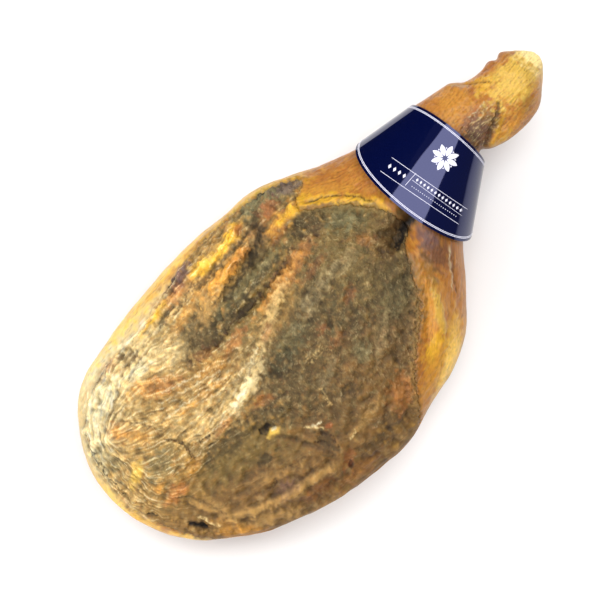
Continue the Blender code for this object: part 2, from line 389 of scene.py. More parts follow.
# The colours of cured ham, from its fat to the mould on its lean, as they look under the studio's light,
# which is brighter than white paper needs. So each reflects that share of it.
SHADE = 0.57
PALETTE = {name: SHADE * srgb(code) for name, code in {
    "cream": "#FFF2C4",
    "straw": "#FFDF9C",
    "pale_lean": "#EEC881",
    "tan": "#DBAA5F",
    "golden": "#E8A23E",
    "bright_fat": "#FBBE34",
    "yellow_fat": "#FACB58",
    "amber": "#CE8436",
    "orange": "#CC7F38",
    "ochre": "#B58A44",
    "olive": "#886E39",
    "mould": "#665433",
    "green_mould": "#807A56",
    # Dark mould, and painted shade where it is laid in creases, the crevice, the groove and round the
    # bone's pit.
    "dark_mould": "#4B3F29",
    "khaki": "#AE9A70",
    "brown": "#886332",
    "deep_brown": "#5A3D20",
    "rust": "#A55B26",
    "plum": "#7C5038",
    "violet_brown": "#7C5F60",
    # Near black: painted shade for the insides of pits, cracks, slits and the hollow under the collar.
    "pit": "#221910",
}.items()}
# The outermost fat, which is paler than the rest, and painted light too: it reflects more than the studio's
# share, to brighten rims and the knob's tip that face away from the lamps.
PALETTE["bleached_fat"] = 0.90 * srgb("#FFE59A")
PALETTE["clear_fat"] = 0.90 * srgb("#F6C552")

# Wide grounds of colour on the trimmed face, in painting order: colour, centre, half length, half width,
# turn in degrees, strength.
FACE_GROUNDS = [
    ("pale_lean", 80, 75, 150, 80, 0, 0.9),
    ("straw", 70, 100, 105, 38, 18, 0.95),
    ("cream", 45, 104, 60, 24, 40, 0.6),
    ("mould", 310, -15, 130, 110, 0, 1.0),
    ("brown", 155, -82, 175, 78, -6, 1.0),
    ("olive", 232, 66, 80, 34, 6, 0.9),
    ("ochre", 245, 36, 50, 13, 18, 0.7),
    ("brown", 290, -100, 55, 36, 30, 0.7),
    ("pale_lean", 150, 20, 62, 20, 12, 0.5),
    ("straw", 165, 12, 36, 12, 14, 0.4),
    ("tan", 132, 56, 56, 24, -22, 0.85),
    ("ochre", 128, 50, 44, 14, -22, 0.3),
    ("olive", 146, 58, 44, 13, -24, 0.35),
    ("olive", 125, -30, 60, 22, -10, 0.85),
    ("mould", 205, -15, 36, 42, 0, 0.8),
    ("ochre", 55, 20, 34, 44, 0, 0.75),
    ("olive", 345, 25, 50, 50, 0, 0.8),
    ("tan", 250, 104, 56, 20, 4, 0.7),
    ("green_mould", 318, 118, 36, 14, -10, 0.9),
]

# Blotches with ragged edges: colour, centre, half length, half width, turn in degrees, strength, and how
# far they stand up in millimetres.
FACE_BLOTCHES = [
    ("dark_mould", 180, 76, 34, 19, 18, 0.7, -0.6),
    ("dark_mould", 205, 62, 20, 12, 0, 0.4, 0),
    ("straw", 143, 84, 16, 14, 20, 0.55, 0.3),
    ("olive", 62, 86, 14, 10, 30, 0.45, 0),
    ("olive", 88, 66, 18, 8, -30, 0.45, 0),
    ("golden", 100, 84, 16, 6, -20, 0.4, 0.3),
    ("cream", 70, 100, 20, 7, 20, 0.6, 0.3),
    ("cream", 112, 96, 16, 6, -10, 0.55, 0.3),
    ("olive", 150, 103, 18, 5, -6, 0.4, 0),
    ("golden", 178, 98, 20, 5, 8, 0.5, 0.4),
    ("olive", 118, 46, 22, 6, -22, 0.4, 0),
    ("golden", 142, 33, 26, 4, -8, 0.4, 0.2),
    ("brown", 176, 38, 20, 6, 6, 0.5, -0.2),
    ("rust", 168, 60, 14, 5, -20, 0.35, 0),
    ("orange", 196, 46, 16, 5, 10, 0.5, 0.2),
    ("rust", 300, 84, 12, 4, 8, 0.5, 0),
    ("orange", 296, 104, 16, 5, 6, 0.5, 0.3),
    ("golden", 216, 106, 18, 4, 8, 0.5, 0.3),
    ("olive", 98, -22, 20, 8, -20, 0.5, 0),
    ("tan", 120, -66, 30, 5, -24, 0.35, 0.3),
    ("tan", 96, -98, 26, 6, -32, 0.5, 0.3),
    ("golden", 58, -68, 12, 6, -50, 0.5, 0.3),
    ("olive", 150, -64, 20, 10, -20, 0.4, 0),
    ("mould", 215, -70, 24, 26, 0, 0.4, 0),
    ("tan", 226, -98, 24, 5, 8, 0.35, 0.2),
    ("khaki", 236, -40, 20, 5, 20, 0.3, 0.2),
    ("khaki", 280, 20, 30, 7, 12, 0.4, 0.2),
    ("khaki", 322, 20, 24, 7, 0, 0.35, 0.2),
    ("khaki", 300, -52, 24, 6, 30, 0.3, 0.2),
    ("dark_mould", 250, 2, 18, 6, 12, 0.35, 0),
    ("dark_mould", 286, -28, 16, 7, 30, 0.35, 0),
    ("dark_mould", 336, -2, 14, 9, 0, 0.35, 0),
    ("dark_mould", 240, -66, 14, 8, 20, 0.35, 0),
    ("rust", 300, 38, 16, 4, 8, 0.35, 0),
    ("orange", 352, 20, 12, 6, -40, 0.4, 0),
    ("brown", 356, 0, 14, 10, 0, 0.5, 0),
    ("green_mould", 364, 40, 8, 10, -20, 0.5, 0.2),
    ("tan", 205, 88, 24, 7, 20, 0.7, 0.5),
    ("green_mould", 250, 76, 40, 7, 2, 0.6, 0),
    ("dark_mould", 225, 61, 14, 4, 0, 0.7, -0.8),
    ("dark_mould", 250, 69, 40, 3, 2, 0.6, -0.6),
    ("orange", 285, 54, 42, 8, 8, 0.5, 0.5),
    ("golden", 262, 50, 34, 5, 10, 0.35, 0.4),
    ("dark_mould", 328, 70, 16, 13, -15, 0.75, -0.8),
    ("green_mould", 352, 50, 14, 12, -30, 0.7, 0.3),
    ("pale_lean", 240, 37, 34, 6, 24, 0.7, 0.8),
    ("rust", 224, 29, 10, 4, 20, 0.5, 0),
    ("violet_brown", 204, 129, 16, 8, 5, 0.85, 0),
    ("dark_mould", 196, 128, 9, 4, 20, 0.5, -0.5),
    ("dark_mould", 172, 113, 13, 2.5, 8, 0.7, -1.2),
    ("deep_brown", 115, 112, 8, 9, 30, 0.6, -1.5),
    ("orange", 98, 120, 8, 9, 0, 0.35, 0.5),
    ("violet_brown", 88, 119, 12, 5, 10, 0.35, 0),
    ("rust", 313, 109, 12, 7, -10, 0.65, 0),
    ("violet_brown", 340, 111, 13, 8, -30, 0.55, 0),
    ("dark_mould", 290, 112, 14, 6, 0, 0.5, -0.4),
    ("orange", 318, 92, 20, 5, -4, 0.6, 0.4),
    ("orange", 116, 69, 18, 8, -32, 0.55, 0.3),
    ("orange", 52, 70, 9, 10, 15, 0.35, 0.2),
    ("green_mould", 26, 58, 11, 18, 0, 0.5, 0),
    ("green_mould", 60, 20, 16, 12, 0, 0.55, 0),
    ("olive", 79, 20, 5, 10, 0, 0.6, 0),
    ("golden", 80, -4, 10, 6, 0, 0.5, 0.4),
    ("straw", 170, 6, 26, 7, 10, 0.75, 0.6),
    ("cream", 166, 7, 16, 4, 10, 0.45, 0.3),
    ("straw", 196, 18, 16, 5, 22, 0.45, 0.5),
    ("orange", 130, -1, 12, 4, 0, 0.5, 0.3),
    ("orange", 172, -12, 9, 5, -20, 0.5, 0.3),
    ("golden", 160, 47, 18, 7, -20, 0.4, 0.3),
    # Painted shade on the top of the lower terrace, in dark mould's colour.
    ("dark_mould", 118, -16, 28, 9, -12, 0.5, -0.4),
    # The bone's pit, with painted shade inside it and round it.
    ("pit", 154, -32, 4.5, 4, -20, 0.95, -1.0),
    ("dark_mould", 165, -26, 16, 10, -30, 0.45, -0.5),
    ("dark_mould", 132, -53, 9, 5, -10, 0.65, -0.8),
    ("deep_brown", 110, -58, 18, 7, -10, 0.4, -0.4),
    ("tan", 84, -76, 26, 5, -24, 0.5, 0.5),
    ("tan", 66, -52, 6, 20, 10, 0.35, 0.3),
    ("violet_brown", 124, -88, 12, 8, 0, 0.4, 0),
    ("rust", 146, -112, 18, 6, -15, 0.35, 0),
    ("tan", 150, -100, 30, 4, -18, 0.25, 0.3),
    ("orange", 190, -128, 26, 6, -5, 0.3, 0),
    ("rust", 196, -76, 4, 3, 0, 0.8, 0.5),
    ("pit", 184, -118, 3.5, 2.5, 30, 0.9, -1.2),
    ("rust", 186, -112, 9, 6, 30, 0.5, 0),
    # Painted shade in the crevice.
    ("dark_mould", 184, -87, 8, 12, -15, 0.55, -0.8),
    ("dark_mould", 212, -4, 14, 10, 10, 0.6, -0.6),
    ("dark_mould", 198, 4, 9, 7, 0, 0.4, 0),
    ("dark_mould", 212, -122, 16, 8, -8, 0.5, 0),
    ("dark_mould", 246, -116, 16, 9, -8, 0.5, 0),
    ("green_mould", 273, -50, 10, 10, 0, 0.6, 0.3),
    ("green_mould", 232, 6, 22, 10, 10, 0.4, 0),
    ("green_mould", 330, -40, 18, 14, 30, 0.35, 0),
    ("dark_mould", 300, -75, 30, 12, 35, 0.35, 0),
    ("rust", 262, -8, 5, 4, 0, 0.5, 0.4),
    ("rust", 305, -5, 8, 5, 20, 0.45, 0),
    ("rust", 264, -26, 7, 5, 0, 0.3, 0),
    ("orange", 268, -106, 18, 12, 30, 0.5, 0),
    ("dark_mould", 345, -25, 24, 14, 60, 0.4, 0),
    # Painted shade where the face runs into the hollow under the collar.
    ("deep_brown", 370, 4, 18, 18, 0, 0.5, 0),
]

# Smooth lumps of fat in the lean, and bits of bone.
FAT_LUMPS = [
    ("yellow_fat", 36, 29, 12, 5, 30, 0.9, 0.8),
    ("orange", 50, -11, 13, 6, -8, 0.75, 0.6),
    ("golden", 42, 4, 8, 3, 15, 0.7, 0.4),
    ("golden", 244, 98, 32, 6, 4, 0.95, 1.0),
    ("orange", 262, 97, 14, 5, 4, 0.5, 0.3),
    ("golden", 308, 92, 18, 6, 2, 0.9, 0.8),
    ("bright_fat", 324, 91, 18, 5, -4, 0.85, 0.4),
    ("bright_fat", 229, 117, 13, 7, -8, 1.0, 1.2),
    ("bright_fat", 250, 115, 13, 5, 0, 0.9, 0.8),
    ("bright_fat", 270, 118, 12, 6, 8, 1.0, 1.2),
    ("rust", 277, 117, 6, 4, 10, 0.8, 0),
    ("orange", 190, 119, 18, 6, 0, 0.6, 0.4),
    ("bright_fat", 158, 120, 17, 5, 4, 0.95, 1.0),
    ("cream", 140, 127, 26, 6, 2, 0.9, 0.8),
    ("golden", 62, 60, 7, 17, 28, 0.6, 0.4),
    ("golden", 64, -84, 20, 5, -40, 0.6, 0.4),
    ("yellow_fat", 157, -41, 6, 3.4, -8, 1.0, 1.4),
    ("cream", 160, -39, 2.5, 1.8, 0, 0.9, 0.6),
    ("yellow_fat", 232, 119, 8, 3, -8, 0.6, 0.2),
    ("yellow_fat", 140, 139, 84, 6, 2, 0.9, 0),
    ("yellow_fat", 60, 122, 40, 5, 28, 0.5, 0),
]

# Blotches on the rind and fat round the face. The brightest fat among them, on the rims and the knob's tip,
# is paler fat with painted light as well.
RIND_BLOTCHES = [
    ("straw", 110, 134, 100, 16, 2, 1.0, 0),
    ("straw", 36, 106, 40, 20, 50, 1.0, 0),
    ("cream", 90, 129, 60, 5, 6, 0.8, 0),
    ("bleached_fat", 60, 132, 70, 9, 16, 0.75, 0),
    ("bleached_fat", 8, 80, 10, 50, -14, 0.6, 0),
    ("clear_fat", 150, 146, 90, 14, 2, 0.9, 0),
    ("clear_fat", 324, 130, 46, 10, -26, 0.85, 0),
    ("bright_fat", 352, 110, 16, 4, -52, 0.7, 0.3),
    ("golden", 250, 136, 90, 5, -1, 0.8, 0),
    ("clear_fat", 244, 149, 90, 14, -3, 1.0, 0),
    ("yellow_fat", 300, 133, 60, 5, -10, 0.8, 0),
    ("rust", 244, 137, 20, 2, -2, 0.5, 0),
    ("straw", 12, 60, 16, 66, 0, 1.0, 0),
    ("clear_fat", 0, 40, 8, 50, 0, 0.7, 0),
    ("golden", 8, -8, 10, 28, -8, 0.9, 0),
    ("golden", 30, -52, 20, 26, 42, 0.95, 0),
    ("clear_fat", 26, -62, 40, 10, -52, 0.85, 0),
    ("golden", 64, -96, 26, 8, -36, 0.8, 0),
    ("clear_fat", 4, -6, 7, 34, 8, 0.6, 0),
    ("straw", 38, -68, 22, 8, -40, 0.8, 0.8),
    ("deep_brown", 30, -64, 10, 2, -48, 0.5, -0.8),
    ("golden", 352, 84, 34, 11, -42, 0.9, 0.3),
    ("bright_fat", 332, 91, 18, 6, -14, 0.9, 0.4),
    ("bright_fat", 354, 76, 18, 6, -40, 0.9, 0.4),
    ("bright_fat", 373, 54, 18, 6, -56, 0.95, 0.4),
    ("bright_fat", 385, 34, 6, 14, 10, 0.9, 0.4),
    ("yellow_fat", 381, 42, 3, 10, 14, 0.6, 0.3),
    ("golden", 352, -70, 16, 40, -38, 0.8, 0.6),
    ("golden", 340, -112, 44, 16, 30, 0.8, 0),
    ("bright_fat", 320, -116, 40, 9, 28, 0.9, 0),
    ("clear_fat", 316, -126, 46, 10, 30, 0.95, 0),
    ("brown", 352, -56, 4, 12, -36, 0.6, -0.4),
    ("brown", 338, -72, 5, 3, 30, 0.6, 0),
    ("olive", 366, -30, 5, 14, -20, 0.5, 0),
    ("yellow_fat", 350, -80, 26, 4, 56, 0.7, 1.0),
    ("bright_fat", 322, -103, 18, 9, 24, 0.95, 0.4),
    ("golden", 300, -118, 34, 8, 24, 0.8, 0),
    ("plum", 392, -38, 14, 22, -8, 0.85, 0),
    ("violet_brown", 396, -22, 9, 12, 0, 0.6, 0),
    ("brown", 374, -44, 6, 18, -30, 0.5, 0),
    ("orange", 376, -82, 42, 12, 48, 0.4, 0),
    ("golden", 384, -96, 54, 10, 46, 0.5, 0),
    ("golden", 500, 46, 26, 18, 0, 0.7, 0),
    ("orange", 488, 60, 12, 12, 0, 0.5, 0),
    ("brown", 508, 8, 24, 17, 0, 0.95, -0.4),
    ("violet_brown", 502, 12, 14, 12, 0, 0.5, 0),
    ("plum", 503, -2, 14, 8, 20, 0.6, 0),
    ("deep_brown", 494, 8, 6, 16, 0, 0.5, 0),
    ("rust", 509, 24, 16, 5, 5, 0.4, 0),
    ("golden", 524, -12, 26, 8, 8, 0.7, 0),
    ("bright_fat", 515, -13, 14, 3, -4, 0.7, 0),
    ("yellow_fat", 568, 18, 32, 22, -8, 0.95, 0),
    ("yellow_fat", 590, 20, 12, 18, 0, 1.0, 0),
    ("bleached_fat", 600, 20, 14, 20, 0, 0.9, 0),
    ("orange", 562, 44, 26, 5, -8, 0.7, 0.5),
    ("rust", 570, 46, 14, 3, -10, 0.6, 0),
    ("bright_fat", 540, 38, 7, 10, 30, 0.6, 0.5),
    ("olive", 556, -8, 9, 6, 20, 0.4, 0),
    ("orange", 580, -4, 18, 5, 14, 0.5, 0),
]

# Lines: colour, half width, strength, rise in millimetres, and the places they run through.
# Painted shadow in the hollow under the collar's rim: near-black lines over a shallow real dip, laid on the
# face and the rind alike.
SHADOW_BY_COLLAR = [
    ("pit", 4.5, 0.95, -1.6, [(384, -1), (392, 1), (414, 1)]),
    ("pit", 2.2, 0.95, -0.8, [(367, -10), (373, -6), (382, -3), (396, -2), (414, -2)]),
]
# The dark lines that sink run in creases, folds, cracks and the groove, and their darkness is partly
# painted shade in them.
FACE_LINES = [
    ("deep_brown", 1.6, 0.8, -1.2, [(190, 58), (215, 60), (240, 58), (270, 60), (300, 66)]),
    ("pale_lean", 1.3, 0.8, 0.8, [(82, 1), (85, 8), (86, 16), (83, 24), (78, 29)]),
    ("deep_brown", 1.2, 0.8, -0.8, [(86, 0), (89, 10), (88, 22), (80, 33)]),
    # A crevice, with painted shade inside it.
    ("pit", 1.8, 0.9, -1.4, [(100, 6), (106, 4), (113, 2)]),
    ("deep_brown", 1.0, 0.7, -0.8, [(113, 2), (124, 1), (136, -2)]),
    ("pit", 1.2, 0.85, -1.0, [(73, 93), (78, 92.5), (83, 92)]),
    ("pit", 1.2, 0.9, -0.6, [(32, 94), (25, 82), (20, 68), (17, 54), (15, 38), (14, 24)]),
    ("pit", 1.2, 0.8, -0.5, [(5, 18), (6, 10), (9, 4)]),
    ("pit", 1.4, 0.8, -0.5, [(12, 0), (15, -6), (19, -12)]),
    ("pit", 1.6, 0.7, -0.6, [(27, -28), (31, -32)]),
    ("pit", 2.4, 1.0, -1.6, [(37, -42), (40, -48), (43, -55)]),
    ("straw", 1.6, 0.7, 1.0, [(47, -44), (50, -54), (53, -64)]),
    ("straw", 1.0, 0.8, 0.9, [(181, -60), (187, -66), (192, -74)]),
    ("cream", 0.9, 0.8, 0.8, [(186, -64), (192, -66), (197, -69)]),
    ("straw", 0.9, 0.7, 0.7, [(201, -99), (207, -101), (212, -97)]),
    ("deep_brown", 1.2, 0.8, -1.2, [(178, -78), (183, -84), (181, -94)]),
    ("deep_brown", 1.2, 0.8, -1.2, [(187, -76), (191, -84), (190, -97)]),
    ("tan", 4.0, 0.35, 1.6, [(52, -30), (62, -56), (92, -80), (126, -96), (168, -104)]),
    ("deep_brown", 2.6, 0.35, -0.8, [(47, -22), (56, -50), (84, -72), (122, -88), (164, -96)]),
    ("tan", 4.5, 0.3, 1.2, [(84, -108), (120, -122), (160, -134)]),
    ("deep_brown", 2.2, 0.4, -0.9, [(150, -38), (163, -56), (172, -76), (180, -98)]),
    ("deep_brown", 3.0, 0.3, -0.8, [(132, -112), (168, -120), (210, -130)]),
    ("pale_lean", 0.9, 0.6, 0.5, [(229, -17), (240, -19), (251, -20)]),
    ("pale_lean", 0.9, 0.6, 0.5, [(230, -21), (240, -23), (250, -25)]),
    ("pale_lean", 1.0, 0.6, 0.6, [(219, -46), (216, -54), (213, -63)]),
    ("pale_lean", 1.2, 0.7, 0.6, [(150, 12), (170, 18), (190, 24), (212, 26)]),
    ("cream", 0.9, 0.55, 0.6, [(104, 58), (120, 53), (140, 45), (165, 38)]),
    ("cream", 0.9, 0.55, 0.6, [(98, 44), (120, 41), (146, 33), (172, 30)]),
    ("cream", 0.8, 0.5, 0.5, [(110, 5), (125, 3), (142, 2), (160, 4)]),
    ("deep_brown", 1.4, 0.5, -0.7, [(46, -14), (56, -24), (62, -40), (66, -60)]),
    ("deep_brown", 1.2, 0.5, -0.7, [(98, -68), (115, -76), (138, -72), (160, -80)]),
    ("pit", 1.6, 0.8, -1.2, [(312, 125), (316, 124), (320, 123)]),
    # Painted shadow in the groove beside the dome, over its real dip.
    ("dark_mould", 7.5, 0.85, -1.0, [(266, 87), (276, 91), (286, 97), (294, 103)]),
    ("pit", 3.5, 0.5, -0.4, [(272, 90), (284, 97), (290, 101)]),
    ("dark_mould", 2.6, 0.75, -0.6, [(220, 79), (238, 83), (262, 87)]),
    ("dark_mould", 2.2, 0.7, -0.7, [(210, 107), (232, 108), (256, 106), (276, 107), (292, 108)]),
    # Painted shade just inside the rind's raised edge, between the yellow fat and the mould.
    ("olive", 6.0, 0.5, 0, [(372, 46), (360, 60), (346, 72), (334, 82)]),
    # Painted shadow of the collar, darkening the meat beside its rim.
    ("deep_brown", 9.0, 0.7, 0, [(384, 6), (396, 8), (414, 8)]),
    *SHADOW_BY_COLLAR,
    ("cream", 0.8, 0.6, 0.5, [(112, 64), (128, 58), (146, 51), (160, 48)]),
    ("cream", 0.8, 0.5, 0.5, [(124, 34), (146, 24), (170, 20), (190, 22)]),
    ("cream", 0.9, 0.6, 0.6, [(150, 4), (168, 10), (188, 18), (206, 27)]),
    ("deep_brown", 0.9, 0.4, -0.3, [(104, 62), (122, 50), (140, 42), (166, 36)]),
    ("deep_brown", 0.9, 0.35, -0.3, [(110, 38), (130, 32), (150, 26), (172, 27)]),
    ("deep_brown", 1.0, 0.6, -0.6, [(66, 74), (74, 62), (80, 50), (84, 40)]),
    ("deep_brown", 1.4, 0.6, -0.8, [(160, 109), (180, 107), (200, 111), (214, 112)]),
    ("deep_brown", 1.2, 0.7, -0.8, [(206, 84), (222, 88), (244, 90), (262, 98)]),
    ("deep_brown", 1.6, 0.6, -0.8,
     [(374, -13), (362, -32), (346, -58), (322, -78), (294, -98), (268, -122)]),
]
# The dark lines that sink are cracks and creases, and their darkness is partly painted shade in them.
RIND_LINES = [
    ("pit", 1.2, 0.9, -1.2, [(339, 87), (348, 81), (354, 79), (361, 73), (368, 67), (375, 58), (381, 51)]),
    ("pit", 1.2, 0.9, -1.2, [(381, 51), (381, 46), (385, 41), (384, 36), (386, 30)]),
    *SHADOW_BY_COLLAR,
    ("deep_brown", 0.7, 0.5, -0.6, [(332, 97), (340, 94), (350, 90)]),
    ("cream", 0.9, 0.8, 0.7, [(374, -75), (382, -68), (392, -56), (402, -46)]),
    ("deep_brown", 0.8, 0.7, -0.8, [(376, -78), (384, -70), (394, -58), (404, -49)]),
    ("pit", 1.0, 0.7, -0.8, [(376, -80), (378, -79)]),
    ("deep_brown", 2.0, 0.8, -2.0, [(490, -10), (503, -4), (516, 2), (530, 7), (538, 14)]),
    ("bright_fat", 2.2, 0.6, 0.8, [(494, -14), (506, -9), (520, -3), (534, 2)]),
    ("straw", 0.7, 0.7, 0.6, [(504, 20), (515, 17), (526, 19), (536, 16)]),
    ("straw", 0.7, 0.6, 0.6, [(500, 13), (512, 12), (522, 8), (532, 10)]),
    ("cream", 0.6, 0.6, 0.5, [(508, 26), (518, 24), (530, 25)]),
    ("deep_brown", 1.2, 0.6, -1.4, [(519, 62), (528, 52), (540, 42), (548, 34)]),
    ("bright_fat", 1.6, 0.7, 1.0, [(522, 62), (531, 52), (543, 43), (552, 36)]),
    ("rust", 1.2, 0.6, -0.8, [(540, 47), (556, 44), (572, 40), (586, 36)]),
    ("straw", 0.8, 0.6, 0.5, [(516, 66), (524, 56), (530, 48)]),
    ("deep_brown", 1.0, 0.5, -0.6, [(500, -12), (520, -17), (540, -19), (552, -19)]),
    ("pit", 0.8, 0.8, -0.4, [(578, 17), (578.5, 16.5)]),
]

# Clouds of colour on the face: colour, grain, seed, the level they start at, strength, and how much of
# them shows off the mould and on it.
FACE_CLOUDS = [
    ("orange", 12, 71, 0.7, 0.26, 1, 0.5),
    ("olive", 15, 72, 0.3, 0.32, 1, 1),
    ("green_mould", 15, 74, 0.5, 0.24, 0, 1),
    ("dark_mould", 10, 77, 0.7, 0.26, 0, 1),
    ("straw", 12, 80, 0.6, 0.40, 1, 0.2),
]

# Random fields of the chart, as clouds takes them: grain, seed, falloff and stretch.
FIELDS = {
    "ragged_edges": (12, 11, 3),
    "lump_edges": (12, 12, 4),
    "wander": (9, 31, 3),
    "sway": (16, 91, 3),
    "curling": (11, 43, 3),
    "curls": (1.7, 44, 4),
    "granules": (2.6, 45, 2.5),
    "lumps": (24, 61, 3.2),
    "bumps": (8, 62, 3.6),
    "warmth": (7, 63, 2.5),
    "mottle": (11, 64, 2.6),
    "breaks": (5, 65, 3),
    "rind_lean": (18, 104, 3),
    "rind_streaks": (2.4, 101, 4),
    "rind_specks": (6, 102, 1.9, 1.6),
    "rind_gold": (18, 81, 1.9, 1.5),
    "rind_rust": (11, 85, 1.9, 1.6),
    "hair": (1.7, 106, 3, 5),
    "rind_lumps": (12, 103, 3, 1.6),
    "border": (9, 111, 2.4),
}
# Kinds of patches by their edges: how soft they are, and how ragged.
EDGES = {
    "crust": (0.35, 0.5),
    "spot": (0.4, 0.5),
    "ground": (0.5, 0.6),
    "blotch": (0.45, 0.85),
    "lump": (0.6, 0.75),
    "rind_blotch": (0.45, 0.7),
    "hairy": (0.4, 0.6),
    "collar_shadow": (0.4, 0.4),
}

# Patches on the chart: centre, half length, half width and turn in degrees.
MOULDY_CRUST = (310, -12, 115, 105, 0)
MOULDY_SPOTS = [(180, 76, 34, 20, 18), (200, -20, 36, 40, 0), (318, 114, 36, 14, -10)]
HAIRY_PATCH = (511, 8, 24, 17, 0)
# Where the face's colours, with the painted shadow under the collar, are carried onto the rind.
COLLAR_SHADOW_PATCH = (400, 8, 15, 12, 0)

# Streaks along the fibres, from broad to fine: grain, seed, falloff, and how far they run.
FIBRES = [(5.5, 40, 4, 30), (2.6, 41, 5, 22), (1.5, 42, 5, 12)]
CURL_REACH = 15
WARMTH_REACH = 8
RIND_STREAK_REACH = 12
EXTREME = 2.5

# The way the meat's fibres run: centre, half length, half width, and their direction in degrees.
FIBRE_RUNS = [
    (110, 62, 70, 34, -28),
    (150, 40, 60, 24, -16),
    (175, 15, 60, 18, 14),
    (100, -30, 60, 30, -16),
    (120, -75, 80, 30, -26),
    (190, -120, 60, 24, -8),
    (50, 100, 50, 24, 38),
    (24, 50, 20, 50, 80),
    (30, -40, 26, 40, -58),
    (150, 118, 80, 16, 4),
    (250, 55, 70, 20, 4),
    (250, 100, 60, 20, 8),
    (300, -20, 80, 60, 25),
    (200, -60, 30, 40, -60),
    (330, -60, 40, 30, 50),
    (350, 50, 30, 40, -55),
]


BLOTCH_REACH = 2.1
LINE_REACH = 4
WANDER_ROOM = 8
THIN_LINE = 2.0


def window_round(places, reach):
    """The part of the chart within reach of some places, as two slices."""
    corners = np.atleast_2d(np.array(places, float))
    low = (corners.min(0) - reach - CHART_CORNER) / CHART_STEP
    high = (corners.max(0) + reach - CHART_CORNER) / CHART_STEP + 1
    return tuple(slice(max(int(a), 0), max(int(b), 0)) for a, b in zip(low, high))


def ragged_share(window, ragged, ellipse, kind):
    """How much of a patch lies at each place: 1 inside its ellipse and 0 outside, with a ragged edge."""
    softness, raggedness = EDGES[kind]
    along, across = from_ellipse(chart_x[window], chart_y[window], *ellipse)
    edge = np.hypot(along, across) - 1 + raggedness * ragged[window]
    return smooth_step(softness, -softness, edge)


def line_share(window, points, half_width, wander):
    """How much of a line lies at each place: it fades from 1 in its middle as a bell curve."""
    x, y = chart_x[window] + wander[window], chart_y[window] - wander[window]
    corners = np.array(points, float)
    gap = np.min([gap_to_side(x, y, a, b) for a, b in zip(corners, corners[1:])], axis=0)
    return np.exp(-(gap / half_width) ** 2)


def lay(colour, tint, share):
    """Paints a tint, by name or as an array, over what is there, by a share from 0 to 1 at each place."""
    tint = PALETTE[tint] if isinstance(tint, str) else tint
    return colour + (tint - colour) * share[..., None]


def mark(colour, rise, window, name, strength, height, share):
    """Paints one blotch or line on a colour chart and adds how far it stands up, in place."""
    colour[window] = lay(colour[window], name, strength * share)
    rise[window] += height * share


def paint_blotches(colour, rise, blotches, ragged, kind):
    """Paints blotches, whose ragged edges end within about twice their size."""
    for name, *ellipse, strength, height in blotches:
        window = window_round(ellipse[:2], BLOTCH_REACH * max(ellipse[2:4]))
        share = ragged_share(window, ragged, ellipse, kind)
        mark(colour, rise, window, name, strength, height, share)


def paint_lines(colour, rise, lines, wander, broken):
    """Paints lines. Those less than THIN_LINE in half width break up."""
    for name, half_width, strength, height, points in lines:
        window = window_round(points, LINE_REACH * half_width + WANDER_ROOM)
        share = line_share(window, points, half_width, wander)
        share = share * (broken[window] if half_width < THIN_LINE else 1)
        mark(colour, rise, window, name, strength, height, share)


def fibre_direction(mouldy):
    """The fibres' direction over the chart: the named runs' directions, blended by bell curves, which sway
    a little in lean and curl where the crust is mouldy."""
    c, s = np.full(chart_x.shape, 0.05), np.zeros(chart_x.shape)
    for x, y, half_length, half_width, turn in FIBRE_RUNS:
        weight = np.exp(-((chart_x - x) / half_length) ** 2 - ((chart_y - y) / half_width) ** 2)
        c = c + weight * math.cos(math.radians(2 * turn))
        s = s + weight * math.sin(math.radians(2 * turn))
    return np.arctan2(s, c) / 2 + (0.22 + 0.5 * mouldy) * field("sway")


def streaks(direction, dots, reach):
    """Streaks along the fibres: each place has the average of the random dots met on a walk both ways."""
    total = dots.copy()
    heading_x, heading_y = np.cos(direction).astype(np.float32), np.sin(direction).astype(np.float32)
    i, j = np.indices(dots.shape).astype(np.float32)
    last_row, last_column = dots.shape[0] - 1, dots.shape[1] - 1
    for way in (1, -1):
        u, v = i.copy(), j.copy()
        for _ in range(reach):
            row = np.clip(np.rint(u), 0, last_row).astype(np.int32)
            column = np.clip(np.rint(v), 0, last_column).astype(np.int32)
            total += dots[row, column]
            u += way * heading_x[row, column]
            v += way * heading_y[row, column]
    return total / total.std()


def bare_chart(name):
    """A colour chart of one colour, and a flat relief chart."""
    return np.zeros((*chart_x.shape, 3)) + PALETTE[name], np.zeros_like(chart_x)


FACE_FLUSH = 240.0
FLUSH_FADE = 40.0
WARM_SHIFT = np.array([0.035, 0, -0.08])
DARKEST, LIGHTEST = 0.002, 0.98


